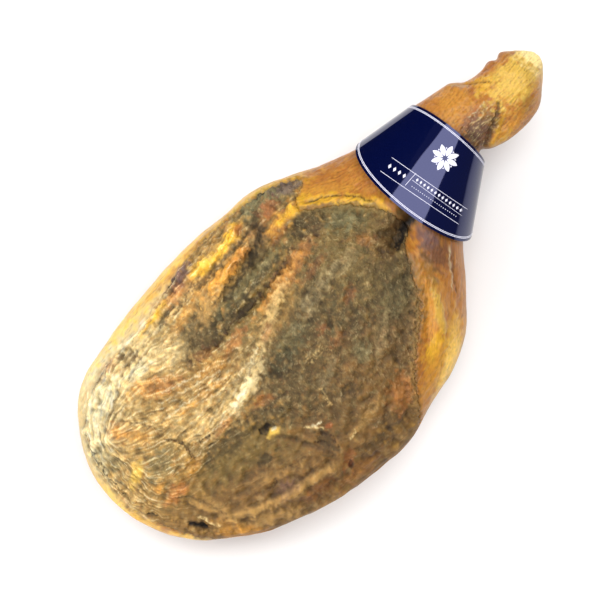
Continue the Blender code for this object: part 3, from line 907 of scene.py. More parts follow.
def paint_face(ragged, wander):
    """The trimmed face's colours and low relief, and where thin lines break up.

    Grounds, clouds, blotches and lumps of fat are laid over each other. Then a texture, the sum of streaks
    along the fibres and of curls on the mould, draws pale threads and dark gaps. Last comes painted shade
    and light: places lower than those round them are darkened and higher ones lightened. Calm lean, below
    the bone, has less of it all.
    """
    mouldy = ragged_share(EVERYWHERE, ragged, MOULDY_CRUST, "crust")
    for spot in MOULDY_SPOTS:
        mouldy = np.maximum(mouldy, 0.8 * ragged_share(EVERYWHERE, ragged, spot, "spot"))
    direction = fibre_direction(mouldy)
    broad, strands, threads = (
        limited(streaks(direction, clouds(grain, seed, falloff), reach), EXTREME)
        for grain, seed, falloff, reach in FIBRES
    )
    curled = direction + field("curling")
    curls = limited(streaks(curled, field("curls"), CURL_REACH), EXTREME)
    granules = limited(field("granules"), EXTREME)
    lumps = field("lumps")
    bumps = field("bumps")
    warmth = streaks(direction, field("warmth"), WARMTH_REACH)
    mottle = field("mottle")
    lean = 1 - mouldy
    calm = lean * smooth_step(5, -32, chart_y)
    vivid = 1 - 0.7 * calm
    less_on_mould = 1 - 0.7 * mouldy

    face, rise = bare_chart("ochre")
    for name, *ellipse, strength in FACE_GROUNDS:
        face = lay(face, name, strength * ragged_share(EVERYWHERE, ragged, ellipse, "ground"))
    for name, grain, seed, low, strength, off_mould, on_mould in FACE_CLOUDS:
        share = vivid * smooth_step(low, low + 1.4, clouds(grain, seed, falloff=3))
        face = lay(face, name, strength * share * (off_mould + (on_mould - off_mould) * mouldy))
    paint_blotches(face, rise, FACE_BLOTCHES, ragged, "blotch")
    paint_blotches(face, rise, FAT_LUMPS, limited(0.3 * field("lump_edges"), 0.7), "lump")

    texture = vivid * lean * (0.36 * broad + 0.58 * strands)
    texture += (1 - 0.2 * calm) * lean * 0.55 * threads
    texture += mouldy * (0.14 * broad + 0.75 * curls + 0.45 * threads + 0.06 * granules)
    face = lay(face, "cream", 0.34 * vivid * lean * smooth_step(0.5, 2.0, texture))
    face = lay(face, "khaki", 0.5 * mouldy * smooth_step(0.5, 2.4, texture))
    face = lay(face, "deep_brown", 0.22 * smooth_step(0.4, 1.9, -texture) * (1 + 0.3 * mouldy))
    shade = 0.13 * limited(texture, 2.2) + 0.08 * vivid * less_on_mould * limited(mottle, 2)
    warm = limited(warmth, 2) * less_on_mould * vivid
    face = face * np.exp(shade[..., None] + warm[..., None] * WARM_SHIFT)
    broken = 0.35 + 0.65 * smooth_step(-0.7, 0.6, field("breaks"))
    paint_lines(face, rise, FACE_LINES, wander, broken)

    rise += vivid * (0.24 - 0.10 * mouldy) * (broad + bumps) + 0.8 * lumps
    rise += vivid * lean * (0.10 * strands + 0.04 * threads)
    rise += mouldy * (0.13 * curls + 0.04 * granules)
    # Painted shade and light: the colour is darkened where the relief dips below its surroundings and
    # lightened where it stands above them, at two sizes.
    relief = rise + swellings(chart_x, chart_y) * 0.5
    relief_shading = np.clip((relief - blurred(relief, 3.5)) / 1.5, -1, 0.7)
    wide_relief_shading = np.clip((relief - blurred(relief, 14)) / 6, -1, 0.8)
    face = face * ((1 + 0.46 * relief_shading) * (1 + 0.17 * wide_relief_shading))[..., None]
    return face, rise, broken


def paint_rind(ragged, wander, broken):
    """The rind's colours and low relief: clouds and blotches, short hairs on the patch by the hock, and a
    grain of streaks, which leans towards the shank from both sides before the collar."""
    lean = np.interp(chart_y, (-100, -20, 40, 110), (44, 36, -26, -34))
    lean = np.radians(lean * np.exp(-((chart_x - 355) / 62) ** 2)) + 0.12 * field("rind_lean")
    grain = 0.6 * streaks(lean, field("rind_streaks"), RIND_STREAK_REACH) + 0.5 * field("rind_specks")
    grain = limited(grain, 2.2)
    rind, rise = bare_chart("amber")
    rind = lay(rind, "golden", 0.6 * smooth_step(-0.6, 1.4, field("rind_gold")))
    rind = lay(rind, "rust", 0.40 * smooth_step(0.5, 1.8, field("rind_rust")))
    paint_blotches(rind, rise, RIND_BLOTCHES, ragged, "rind_blotch")
    hair = smooth_step(0.7, 1.9, field("hair"))
    hair = hair * ragged_share(EVERYWHERE, ragged, HAIRY_PATCH, "hairy")
    rind = lay(rind, "straw", 0.55 * hair)
    rise += 0.35 * hair
    rind = lay(rind, "deep_brown", 0.27 * smooth_step(0.6, 2.0, -grain))
    rind = rind * (1 + 0.11 * grain)[..., None]
    paint_lines(rind, rise, RIND_LINES, 0.5 * wander, broken)
    rise += 0.12 * grain + 0.3 * field("rind_lumps")
    return rind, rise


def paint_chart():
    """Colours and low relief of all that shows from above, and how far inside the trimmed face it lies.

    The face's colours are blended over the rind near the border. Flush is 1 at the butt, where the cut runs
    out into soft fat, and 0 at the hock, where it ends at a rind's edge. The straight rim and the fatty
    corner of the butt keep the rind's own golden colours. The side colour is the rim's, blurred.
    """
    depth = depth_inside(curve_through(FACE_BORDER))
    ragged = limited(0.30 * field("ragged_edges"), 0.8)
    wander = field("wander")
    face, face_rise, broken = paint_face(ragged, wander)
    rind, rind_rise = paint_rind(ragged, wander, broken)

    unevenness = 0.8 + 0.4 * smooth_step(200, 300, chart_x) * smooth_step(10, -30, chart_y)
    edge = depth + unevenness * limited(field("border"), 2)
    flush = smooth_step(FACE_FLUSH + FLUSH_FADE, FACE_FLUSH - FLUSH_FADE, chart_x)
    straight_rim = smooth_step(160, 200, chart_x) * smooth_step(90, 110, chart_y)
    fatty_corner = smooth_step(84, 50, chart_x) * smooth_step(-4, -20, chart_y)
    browned_rim = smooth_step(-78, -100, chart_y) * smooth_step(60, 84, chart_x) * flush
    blend = (0.85 + 0.1 * flush) * smooth_step(-4.5 - 2.5 * flush, -1, edge + 2.5 * ragged)
    blend *= 1 - straight_rim * smooth_step(-0.5, -2.5, edge)
    # The face's colours, with their painted shadow, are carried onto the rind under the collar.
    blend = np.maximum(blend, ragged_share(EVERYWHERE, ragged, COLLAR_SHADOW_PATCH, "collar_shadow"))
    rind_rise += (face_rise - rind_rise) * 0.8 * blend * flush
    blend *= 1 - 0.9 * fatty_corner * smooth_step(-0.5, -3, edge)
    rind = lay(rind, face, 0.9 * browned_rim)
    side = np.stack([blurred(rind[..., band], 8) for band in range(3)], axis=-1)
    rind = lay(rind, face, 0.9 * blend)
    flap = smooth_step(FACE_FLUSH, FACE_FLUSH + 60, chart_x) * smooth_step(7, 0, edge)
    face = lay(face, "tan", 0.4 * flap * smooth_step(-30, -60, chart_y))
    return {
        "edge": edge,
        "face": np.clip(face, DARKEST, LIGHTEST),
        "face_rise": face_rise,
        "rind": np.clip(rind, DARKEST, LIGHTEST),
        "rind_rise": rind_rise,
        "side": side,
    }


# Meshes.

def enclosed_volume(points, faces):
    """The volume inside closed faces by the sum of their fans' signed tetrahedra: negative inside out."""
    total = 0.0
    for size in (3, 4):
        corners = np.array([face for face in faces if len(face) == size], int)
        for last in range(2, size if len(corners) else 0):
            a, b, c = (points[corners[:, i]] for i in (0, last - 1, last))
            total += np.einsum("ij,ij->", a, np.cross(b, c)) / 6
    return total


def put_in_scene(name, data):
    """A new object with that data, linked to the scene."""
    thing = bpy.data.objects.new(name, data)
    bpy.context.scene.collection.objects.link(thing)
    return thing


def add_mesh(name, points, faces, tints=None, crease=None):
    """A smooth closed mesh from points in drawing units, placed in the frame and facing outwards. A
    crease is the angle in degrees past which its edges are sharp."""
    mesh = bpy.data.meshes.new(name)
    mesh.from_pydata(placed(points).tolist(), [], faces)
    if enclosed_volume(points - points.mean(0), faces) < 0:
        mesh.flip_normals()
    mesh.shade_smooth()
    if crease is not None:
        mesh.set_sharp_from_angle(angle=math.radians(crease))
    if tints is not None:
        layer = mesh.color_attributes.new(name="tint", type="FLOAT_COLOR", domain="POINT")
        rgba = np.concatenate([tints, np.ones((len(tints), 1))], axis=1)
        layer.data.foreach_set("color", rgba.astype(np.float32).ravel())
        layer = mesh.attributes.new(name="oil", type="FLOAT", domain="POINT")
        layer.data.foreach_set("value", oiliness(tints).astype(np.float32))
    return put_in_scene(name, mesh)


def numbered(rows, columns):
    """The numbers of a grid's points, row by row."""
    return np.arange(rows * columns).reshape(rows, columns)


def grid_faces(rows, columns, wrap):
    """Quads between the points of a grid, row by row. A wrapped grid joins its last column to its first."""
    index = numbered(rows, columns)
    right = np.roll(index, -1, axis=1)
    if not wrap:
        index, right = index[:, :-1], right[:, :-1]
    quads = np.stack([index[:-1], right[:-1], right[1:], index[1:]], axis=-1)
    return quads.reshape(-1, 4).tolist()


def grid_border(rows, columns):
    """The steps round a grid's border, each a pair of its points' numbers."""
    index = numbered(rows, columns)
    rim = np.concatenate([index[0, :-1], index[:-1, -1], index[-1, :0:-1], index[:0:-1, 0]])
    return list(zip(rim.tolist(), np.roll(rim, -1).tolist()))


def normals_of(points, wrap):
    """The outward direction at each point of a grid, square to its steps along and round."""
    along = np.gradient(points, axis=0)
    if wrap:
        round_step = np.roll(points, -1, axis=1) - np.roll(points, 1, axis=1)
    else:
        round_step = np.gradient(points, axis=1)
    normal = np.cross(along, round_step)
    return normal / np.maximum(np.linalg.norm(normal, axis=-1, keepdims=True), 1e-9)


WIDE_SECTION_AT = 220.0


def even_turns(count, start, end, fineness=1.0):
    """Turns round a section that step evenly along its outline, or more finely where fineness, a number
    for each of four turns from the top to the underside, is greater."""
    turn = np.linspace(start, end, 2001)
    section, _ = ham_surface(np.full(turn.shape, WIDE_SECTION_AT), turn)
    from_top = np.abs((turn[1:] + math.pi) % (2 * math.pi) - math.pi)
    step = np.linalg.norm(np.diff(section, axis=0), axis=1)
    step = step * np.interp(from_top, (0.25, 0.55, 1.65, 2.1), np.ones(4) * fineness)
    length = np.concatenate([[0], np.cumsum(step)])
    return np.interp(np.linspace(0, length[-1], count), length, turn)


ham_low, ham_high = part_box("ham")
outline, _ = ham_surface(*(grid.ravel() for grid in np.meshgrid(
    np.linspace(1, 599, 300), np.linspace(0, 2 * math.pi, 181), indexing="ij")))
HAM_MIDDLE = (outline[:, 1].max() + outline[:, 1].min()) / 2 * UNIT
SHIFT = np.array([ham_low[0], (ham_low[1] + ham_high[1]) / 2 - HAM_MIDDLE, 0])


def placed(points):
    """Drawing units turned to metres in the frame."""
    return points * UNIT + SHIFT


chart = paint_chart()


DRY_SATURATION, OILY_SATURATION = 0.68, 0.92


def oiliness(tints):
    """How oily each place is, from 1 less its blue over its red: saturated yellow and amber is fat, and
    grey and brown is dry lean."""
    saturation = 1 - tints[:, 2] / np.maximum(tints[:, 0], 1e-4)
    return smooth_step(DRY_SATURATION, OILY_SATURATION, saturation)


def surface_grid(along, turns):
    """The plain surface on a grid of places along and turns round, and how far up its section each is."""
    x, turn = np.meshgrid(along, turns, indexing="ij")
    points, lift = ham_surface(x.ravel(), turn.ravel())
    return points.reshape(*x.shape, 3), lift.reshape(x.shape)


FACE_ENDS_UP = 0.14
SECTION_REACH = 60.0
FACE_ROWS, FACE_COLUMNS = 661, 298
FACE_STRETCH = (2.5, 404)
FACE_TURN = 1.52
FACE_SLOPE = 12.0
FACE_DIVE = 8.0
FACE_CREASE = 72.0
RIND_SINK = 7.0
RIND_DEEP_SINK = 11.0
RIND_BEAD_HEIGHT, RIND_BEAD_OUTSIDE, RIND_BEAD_HALF_WIDTH = 0.8, 3.0, 2.6
WRINKLE_SIZE, WRINKLE_RISE = 9, 0.30
DENT_SIZE, DENT_RISE = 48, 1.1


def edge_depth(points, lift):
    """How far inside the trimmed face each place is: by the chart, and by how far it is up the section,
    since the meat ends where the side starts to turn under."""
    by_chart = read_chart(chart["edge"], points[..., 0], points[..., 1])
    return np.minimum(by_chart, (lift - FACE_ENDS_UP) * SECTION_REACH)


def face_pieces():
    """The trimmed meat face: the ham's top surface, lowered by the rind's thickness, with the chart's
    relief along its outward direction. Outside the border it dives under the rind. It comes as two meshes
    that meet along one row of places, and the edge of each closes to one point inside the ham."""
    points, lift = surface_grid(
        np.linspace(*FACE_STRETCH, FACE_ROWS), even_turns(FACE_COLUMNS, -FACE_TURN, FACE_TURN))
    normal = normals_of(points, wrap=False)
    x, y = points[..., 0], points[..., 1]
    edge = edge_depth(points, lift)
    offset = read_chart(chart["face_rise"], x, y) * MILLIMETRE * smooth_step(-2, 4, edge)
    offset *= 0.25 + 0.75 * smooth_step(0.15, 0.55, lift)
    offset -= FACE_DIVE * smooth_step(1.0, -5, edge)
    points = points + normal * offset[..., None]
    points[..., 2] -= RIND_STEP * smooth_step(*RELIEF_STARTS, lift) * smooth_step(0, FACE_SLOPE, edge)
    tints = read_chart(chart["face"], x, y)
    middle = FACE_ROWS // 2
    pieces = []
    for name, rows, heart in (
        ("meat_face_butt", slice(0, middle + 1), (100, 0, 50)),
        ("meat_face_hock", slice(middle, FACE_ROWS), (300, 0, 55)),
    ):
        shape = points[rows].shape[:2]
        own_points = np.vstack([points[rows].reshape(-1, 3), heart])
        own_tints = np.vstack([tints[rows].reshape(-1, 3), PALETTE["brown"]])
        faces = grid_faces(*shape, wrap=False)
        faces += [(b, a, len(own_points) - 1) for a, b in grid_border(*shape)]
        pieces.append(add_mesh(name, own_points, faces, own_tints, FACE_CREASE))
    return pieces


def skin_colours(points):
    """The colours of the skin side: amber rind with golden and rusty clouds, browner below, a pale bloom
    of mould, and dark pores."""
    places = points * np.array([0.7, 1, 1])
    low_down = smooth_step(60, 5, points[:, 2])
    tints = np.zeros_like(points) + PALETTE["amber"]
    for name, share in (
        ("golden", 0.55 * smooth_step(-0.1, 0.8, rough(places, 45, 201))),
        ("rust", 0.45 * smooth_step(0.1, 0.8, rough(places, 32, 205))),
        ("brown", 0.6 * smooth_step(0.0, 0.9, rough(places, 60, 209)) * low_down),
        ("pale_lean",
         0.30 * smooth_step(0.25, 0.7, rough(places, 26, 213) + 0.4 * rough(places, 5, 217))),
        ("deep_brown", 0.30 * smooth_step(0.5, 0.75, noise(points, 3.2, 221))),
    ):
        tints = lay(tints, name, share)
    return tints


def tube_piece(name, along, turns, start, end, sunk):
    """A closed stretch of rind: rings of the ham's surface with the chart's low relief and colours above,
    and noise elsewhere, where its sides first keep the rim's colour. Start and end are the points that
    close it. Where sunk, it rises to a low bead along the face and drops away under it."""
    points, lift = surface_grid(along, turns)
    shape = lift.shape
    normal = normals_of(points, wrap=True)
    x, y = points[..., 0], points[..., 1]
    above = smooth_step(0.08, 0.45, normal[..., 2]) * smooth_step(-0.12, 0.1, lift)
    above = np.maximum(above, smooth_step(0.45, 0.75, lift))
    flat = points.reshape(-1, 3)
    wrinkles = rough(flat * np.array([0.5, 1, 1]), WRINKLE_SIZE, 231).reshape(shape)
    dents = rough(flat, DENT_SIZE, 235, layers=2).reshape(shape)
    offset = above * read_chart(chart["rind_rise"], x, y)
    offset += (1 - above) * (WRINKLE_RISE * wrinkles + DENT_RISE * dents)
    offset = offset * MILLIMETRE * smooth_step(-1, 6, points[..., 2] + 1)
    if sunk:
        edge = edge_depth(points, lift)
        crisp = smooth_step(FACE_FLUSH - 30, FACE_FLUSH + 60, x)
        bead = np.exp(-((edge + RIND_BEAD_OUTSIDE) / RIND_BEAD_HALF_WIDTH) ** 2)
        offset += above * crisp * RIND_BEAD_HEIGHT * bead
        offset -= RIND_SINK * smooth_step(-2.2, 4.4, edge) + RIND_DEEP_SINK * smooth_step(3, 20, edge)
    points = points + normal * offset[..., None]
    points[..., 2] = np.maximum(points[..., 2], 0)
    side = read_chart(chart["side"], x, y).reshape(-1, 3) * np.exp(0.35 * rough(flat, 12, 241))[:, None]
    tints = lay(skin_colours(flat), side, 0.9 * smooth_step(-0.75, -0.1, normal[..., 2]).ravel())
    tints = lay(tints, read_chart(chart["rind"], x, y).reshape(-1, 3), above.ravel())
    rows, columns = shape
    faces = grid_faces(rows, columns, wrap=True)
    first, last, far = rows * columns, rows * columns + 1, (rows - 1) * columns
    ring = [(a, (a + 1) % columns) for a in range(columns)]
    faces += [(first, b, a) for a, b in ring]
    faces += [(last, far + a, far + b) for a, b in ring]
    points = np.vstack([points.reshape(-1, 3), start, end])
    tints = np.vstack([tints, tints[0], tints[-1]])
    return add_mesh(name, points, faces, tints)


def crowded(start, end, count, bend):
    """Places from start to end, which crowd towards the end by the bend, from 0 to 1."""
    share = np.linspace(0, 1, count)
    return start + (end - start) * ((1 + bend) * share - bend * share ** 2)


# Materials.

def add_node(tree, kind, settings=None, values=None, links=None):
    """Adds a node, sets its properties, gives its inputs values, and links other nodes' outputs to it."""
    node = tree.nodes.new(kind)
    for key, value in (settings or {}).items():
        setattr(node, key, value)
    for key, value in (values or {}).items():
        node.inputs[key].default_value = value
    for key, output in (links or {}).items():
        tree.links.new(output, node.inputs[key])
    return node


def new_material(name, values):
    """A material with its Principled shader's constant settings."""
    material = bpy.data.materials.new(name)
    material.use_nodes = True
    shader = material.node_tree.nodes["Principled BSDF"]
    for key, value in values.items():
        shader.inputs[key].default_value = value
    return material, material.node_tree, shader


def noise_of(tree, size_mm, detail=2, roughness=0.5):
    """Noise that is fixed to the piece, with lumps of a size in millimetres."""
    place = add_node(tree, "ShaderNodeTexCoord").outputs["Object"]
    return add_node(
        tree, "ShaderNodeTexNoise",
        values={"Scale": 1000 / size_mm, "Detail": detail, "Roughness": roughness},
        links={"Vector": place}).outputs["Fac"]


def raise_surface(tree, shader, height, rise_mm):
    """Lets a texture raise the shader's surface by up to that many millimetres, over any bump before."""
    normal = shader.inputs["Normal"]
    before = {"Normal": normal.links[0].from_socket} if normal.is_linked else {}
    bump = add_node(
        tree, "ShaderNodeBump", values={"Distance": rise_mm / 1000}, links={"Height": height, **before})
    tree.links.new(bump.outputs["Normal"], normal)


def painted_flesh(name, values, dry, oily, crumb_mm, crumb_rise, fine_mm, fine_rise):
    """Flesh or rind: its painted colour, mottled finer than its mesh, with roughness from how oily it is
    and two sizes of bump. Sizes and rises are in millimetres."""
    material, tree, shader = new_material(name, values)
    tint = add_node(tree, "ShaderNodeVertexColor", {"layer_name": "tint"}).outputs["Color"]
    oil = add_node(tree, "ShaderNodeAttribute", {"attribute_name": "oil"}).outputs["Fac"]
    crumbs = noise_of(tree, crumb_mm, 3, 0.6)
    fine = noise_of(tree, fine_mm, 2, 0.6)
    light = add_node(
        tree, "ShaderNodeMapRange",
        values={"From Min": 0.3, "From Max": 0.7, "To Min": 0.96, "To Max": 1.04},
        links={"Value": crumbs}).outputs["Result"]
    mottled = add_node(
        tree, "ShaderNodeHueSaturation", links={"Color": tint, "Value": light}).outputs["Color"]
    gloss = add_node(
        tree, "ShaderNodeMapRange", values={"To Min": dry, "To Max": oily}, links={"Value": oil}
    ).outputs["Result"]
    uneven = add_node(
        tree, "ShaderNodeMath", {"operation": "MULTIPLY_ADD"}, {1: 0.3, 2: -0.15}, {0: crumbs}
    ).outputs["Value"]
    rough_here = add_node(
        tree, "ShaderNodeMath", {"operation": "ADD", "use_clamp": True}, links={0: gloss, 1: uneven}
    ).outputs["Value"]
    tree.links.new(mottled, shader.inputs["Base Color"])
    tree.links.new(rough_here, shader.inputs["Roughness"])
    raise_surface(tree, shader, crumbs, crumb_rise)
    raise_surface(tree, shader, fine, fine_rise)
    return material


def air_dried_lean():
    """Lean meat dried in air, dusted with mould, and the fat between its muscles: a dry, crumbling crust
    with fine fibres, which only shines where fat has sweated oil."""
    return painted_flesh(
        "air_dried_lean_with_mould",
        {"IOR": 1.45, "Specular IOR Level": 0.3, "Subsurface Weight": 0.05, "Subsurface Scale": 0.002},
        dry=0.85, oily=0.55, crumb_mm=2.2, crumb_rise=0.12, fine_mm=0.7, fine_rise=0.12)


def salted_rind():
    """Pig's rind and the fat under it, salted, dried and rubbed with oil: an amber skin that is smooth to
    the eye, with fine pores, a soft sheen and a little light passing into its fat."""
    return painted_flesh(
        "salted_and_oiled_rind",
        {"IOR": 1.45, "Specular IOR Level": 0.32, "Subsurface Weight": 0.12, "Subsurface Scale": 0.003,
         "Coat Weight": 0.06, "Coat Roughness": 0.3},
        dry=0.6, oily=0.42, crumb_mm=3.0, crumb_rise=0.35, fine_mm=0.9, fine_rise=0.12)


def laminated_card():
    """Card printed navy and laminated with clear film: near black where it mirrors nothing, and a crisp
    blue-grey where it mirrors a lamp."""
    material, tree, shader = new_material("laminated_navy_card", {
        "Base Color": (*srgb("#03082E"), 1), "Roughness": 0.06, "Coat Weight": 0.0,
        "Specular Tint": (*srgb("#C4C8FF"), 1), "Specular IOR Level": 0.75,
    })
    raise_surface(tree, shader, noise_of(tree, 45, 1), 0.6)
    return material


def white_print():
    """Opaque white ink under the same film."""
    material, _, _ = new_material("white_ink_under_film", {
        "Base Color": (*srgb("#E4E3F2"), 1), "Roughness": 0.25,
    })
    return material


# The collar.

COLLAR_AXIS = COLLAR_NARROW_CENTRE - COLLAR_WIDE_CENTRE
COLLAR_LENGTH = float(np.linalg.norm(COLLAR_AXIS))
COLLAR_AHEAD = COLLAR_AXIS / COLLAR_LENGTH
COLLAR_LEFT = np.cross((0, 0, 1), COLLAR_AHEAD)
COLLAR_LEFT = COLLAR_LEFT / np.linalg.norm(COLLAR_LEFT)
COLLAR_UP = np.cross(COLLAR_AHEAD, COLLAR_LEFT)
CARD_OVERLAP = math.radians(14)
CARD_ROWS, CARD_COLUMNS = 30, 320
CARD_CREASE = 30.0
# How each rim sits: how far along, its dip towards the front, and how far its left side runs ahead.
WIDE_RIM = (2.0, -WIDE_RIM_DIP, 9.0)
NARROW_RIM = (COLLAR_LENGTH + 1.5, NARROW_RIM_DIP, 4.5)


def collar_halves(along):
    """Half width and half height of the cone at a distance along its axis."""
    share = along / COLLAR_LENGTH
    return tuple(
        wide + (narrow - wide) * share for wide, narrow in zip(COLLAR_WIDE_HALVES, COLLAR_NARROW_HALVES)
    )


def on_card(along, turn, lift):
    """Places on the wound card: its inner face is an oval cone that winds outwards by one thickness a
    turn, so that its end overlaps its start at the back. Lift is the height over that inner face."""
    half_width, half_height = collar_halves(along)
    out = lift + CARD_THICKNESS * (turn + math.pi) / (2 * math.pi)
    return (
        COLLAR_WIDE_CENTRE
        + COLLAR_AHEAD * along[..., None]
        + COLLAR_LEFT * ((half_width + out) * np.sin(turn))[..., None]
        + COLLAR_UP * ((half_height + out) * np.cos(turn))[..., None]
    )


def rims(turn):
    """How far along the axis the wide and narrow rims lie: both run further out over the front, and the
    card sits a little askew."""
    return tuple(
        along + dip * np.cos(turn) + askew * np.sin(turn) for along, dip, askew in (WIDE_RIM, NARROW_RIM)
    )


def slab_mesh(outer, inner):
    """Points and faces of a closed slab between two grids of the same size."""
    rows, columns = outer.shape[:2]
    under = rows * columns
    faces = grid_faces(rows, columns, wrap=False)
    faces += [tuple(under + i for i in reversed(face)) for face in faces]
    faces += [(b, a, under + a, under + b) for a, b in grid_border(rows, columns)]
    return np.vstack([outer.reshape(-1, 3), inner.reshape(-1, 3)]), faces


def card_piece():
    """The card: a slab one card thick, wound a little over one turn."""
    turn = np.linspace(-math.pi - CARD_OVERLAP, math.pi + CARD_OVERLAP, CARD_COLUMNS)
    share, turn = np.meshgrid(np.linspace(0, 1, CARD_ROWS), turn, indexing="ij")
    wide, narrow = rims(turn)
    along = wide + (narrow - wide) * share
    outer, inner = (on_card(along, turn, lift) for lift in (CARD_THICKNESS, 0.0))
    return add_mesh("collar_card", *slab_mesh(outer, inner), crease=CARD_CREASE)


INK_LIFT = 0.12 * MILLIMETRE


def inked(along, turn):
    """A thin slab of ink over a grid of places on the card."""
    outer = on_card(along, turn, CARD_THICKNESS + INK_LIFT)
    inner = on_card(along, turn, CARD_THICKNESS - INK_LIFT)
    return slab_mesh(outer, inner)


def joined(parts):
    """Points and faces of several meshes as one."""
    points, faces, count = [], [], 0
    for part_points, part_faces in parts:
        points.append(part_points)
        faces += [tuple(i + count for i in face) for face in part_faces]
        count += len(part_points)
    return np.vstack(points), faces


KEYLINE_INSETS = (2.6, 3.7)
KEYLINE_WIDTH = 0.55
KEYLINE_STEPS = 260
KEYLINE_GAP = 0.02


def keylines():
    """Two fine lines inside each rim, all the way round but for a hair's gap at the back."""
    parts = []
    turn = np.linspace(-math.pi, math.pi - KEYLINE_GAP, KEYLINE_STEPS)
    for inset in KEYLINE_INSETS:
        for rim, way in zip(rims(turn), (1, -1)):
            edges = np.stack([rim + way * inset, rim + way * (inset + KEYLINE_WIDTH)])
            edges = edges if way > 0 else edges[::-1]
            parts.append(inked(edges, np.stack([turn, turn])))
    return add_mesh("collar_keylines", *joined(parts))


def flat_print(along, across):
    """Ink at places given by their distance along the axis and across it, as seen from the front."""
    half_width, _ = collar_halves(along)
    return inked(along, np.arcsin(np.clip(across / half_width, -0.99, 0.99)))


def ruled_line(start, end, width, steps=40):
    """A straight ruled line between two places, each along and across."""
    share = np.linspace(0, 1, steps)
    start, end = np.array(start), np.array(end)
    middle = start + (end - start) * share[:, None]
    side = np.array([end[1] - start[1], start[0] - end[0]])
    side = side / np.linalg.norm(side) * width / 2
    edges = np.stack([middle + side, middle - side])
    return flat_print(edges[..., 0], edges[..., 1])


def diamond(along, across, half_length, half_width):
    """A diamond from one quad, turned on its corner."""
    corners_along = np.array([[along + half_length, along], [along, along - half_length]])
    corners_across = np.array([[across, across + half_width], [across - half_width, across]])
    return flat_print(corners_along, corners_across)


PETAL_FOOT = 0.16


def petal(along, across, turn, reach, width):
    """A leaf from its foot to its tip, whose width follows a sine."""
    share, side = np.meshgrid(np.linspace(PETAL_FOOT, 1, 14), np.linspace(-1, 1, 7), indexing="ij")
    out = share * reach
    wide = side * width * np.sin(math.pi * (share - PETAL_FOOT) / (1 - PETAL_FOOT)) ** 0.8 / 2
    c, s = math.cos(turn), math.sin(turn)
    return flat_print(along + out * c - wide * s, across + out * s + wide * c)


# The ornament. Ruled lines: start and end, each along and across the collar, and width.
RULED_LINES = [
    ((-0.5, 34), (-4, -56), 0.45),
    ((16.3, 32), (12.5, -55), 0.45),
    ((8.5, 4), (4.5, -54), 0.35),
    ((0.6, 7), (16, 4.5), 0.45),
]
# Rows of diamonds: how many, the first one's place, the step to the next, half length and half width.
DIAMOND_ROWS = [
    (4, (8.2, 29), (-0.1, -5.5), 2.6, 1.5),
    (13, (11.2, 0), (-0.22, -4.2), 1.9, 1.25),
    (22, (3.2, 1), (-0.1, -2.4), 0.55, 0.55),
]
ROSETTE_CENTRE = (43.0, -11.0)
PETALS = 8
PETAL_REACH, PETAL_WIDTH = 13.5, 5.2
ROSETTE_DIAMOND_REACH, ROSETTE_DIAMOND_HALF = 9.8, 0.9


def collar_print():
    """A ruled band with rows of diamonds, and a rosette of eight petals with diamonds between them."""
    parts = [ruled_line(*line) for line in RULED_LINES]
    for count, (along, across), (step_along, step_across), half_length, half_width in DIAMOND_ROWS:
        for i in range(count):
            parts.append(diamond(along + i * step_along, across + i * step_across, half_length, half_width))
    along, across = ROSETTE_CENTRE
    for i in range(PETALS):
        turn = 2 * math.pi * i / PETALS
        parts.append(petal(along, across, turn, PETAL_REACH, PETAL_WIDTH))
        between = turn + math.pi / PETALS
        parts.append(diamond(
            along + ROSETTE_DIAMOND_REACH * math.cos(between),
            across + ROSETTE_DIAMOND_REACH * math.sin(between),
            ROSETTE_DIAMOND_HALF, ROSETTE_DIAMOND_HALF))
    return add_mesh("collar_print", *joined(parts))


# The set.

# Squares of soft light: direction and distance from the ham, width, height, and glow.
SOFTBOXES = {
    "key_box": ((-0.30, 0.75, 0.75), 2.2, 1.6, 1.6, 5.0),
    "overhead_box": ((0.42, -0.05, 0.90), 2.0, 1.5, 2.3, 4.4),
    "fill_box": ((-0.85, -0.25, 0.50), 2.2, 1.8, 1.4, 4.0),
}
LAMPS_FACE = Vector((0, 0, 0.06))
ROOM_GLOW = (0.12, 0.12, 0.13, 1)
FLAG_CORNERS = np.array([(330, 170, 1), (560, 215, 1), (560, 215, 700), (330, 170, 700)], float)
FLOOR_HALF = 6.0


def softbox(name, direction, distance, width, height, glow):
    """A square of soft light that faces the ham from a direction, as bright as glow times white paper."""
    light = bpy.data.lights.new(name, "AREA")
    light.shape = "RECTANGLE"
    light.size, light.size_y = width, height
    light.energy = glow * math.pi * width * height
    lamp = put_in_scene(name, light)
    aim = Vector(direction).normalized()
    lamp.location = LAMPS_FACE + aim * distance
    lamp.rotation_euler = aim.to_track_quat("Z", "Y").to_euler()
    lamp.visible_camera = False


def flat_sheet(name, corners, material):
    """One flat quad."""
    mesh = bpy.data.meshes.new(name)
    mesh.from_pydata(corners, [], [(0, 1, 2, 3)])
    mesh.materials.append(material)
    return put_in_scene(name, mesh)


def make_flag():
    """A black card that stands on the floor out of the picture, which keeps one side of the collar dark."""
    material, _, _ = new_material("black_felt", {"Base Color": (0.004, 0.004, 0.005, 1), "Roughness": 1.0})
    flag = flat_sheet("black_flag", placed(FLAG_CORNERS).tolist(), material)
    flag.visible_camera = False
    flag.visible_diffuse = False
    flag.visible_shadow = False


def make_floor():
    """A pale, wide, matt floor."""
    material, tree, shader = new_material("matt_white_paper", {
        "Base Color": (*srgb("#F4F3F2"), 1), "Roughness": 0.9, "Specular IOR Level": 0.1,
    })
    raise_surface(tree, shader, noise_of(tree, 1.5), 0.03)
    corners = [(x * FLOOR_HALF, y * FLOOR_HALF, 0) for x, y in ((-1, -1), (1, -1), (1, 1), (-1, 1))]
    floor = flat_sheet("floor", corners, material)


# The photograph's frame: which place is in its middle, how wide it is, and how the ham is turned in it.
VIEW_MIDDLE = (268.1, 26.7, 60.0)
VIEW_WIDTH = 0.5657
HAM_TURN_IN_VIEW = math.radians(47.5)
LENS = 300.0


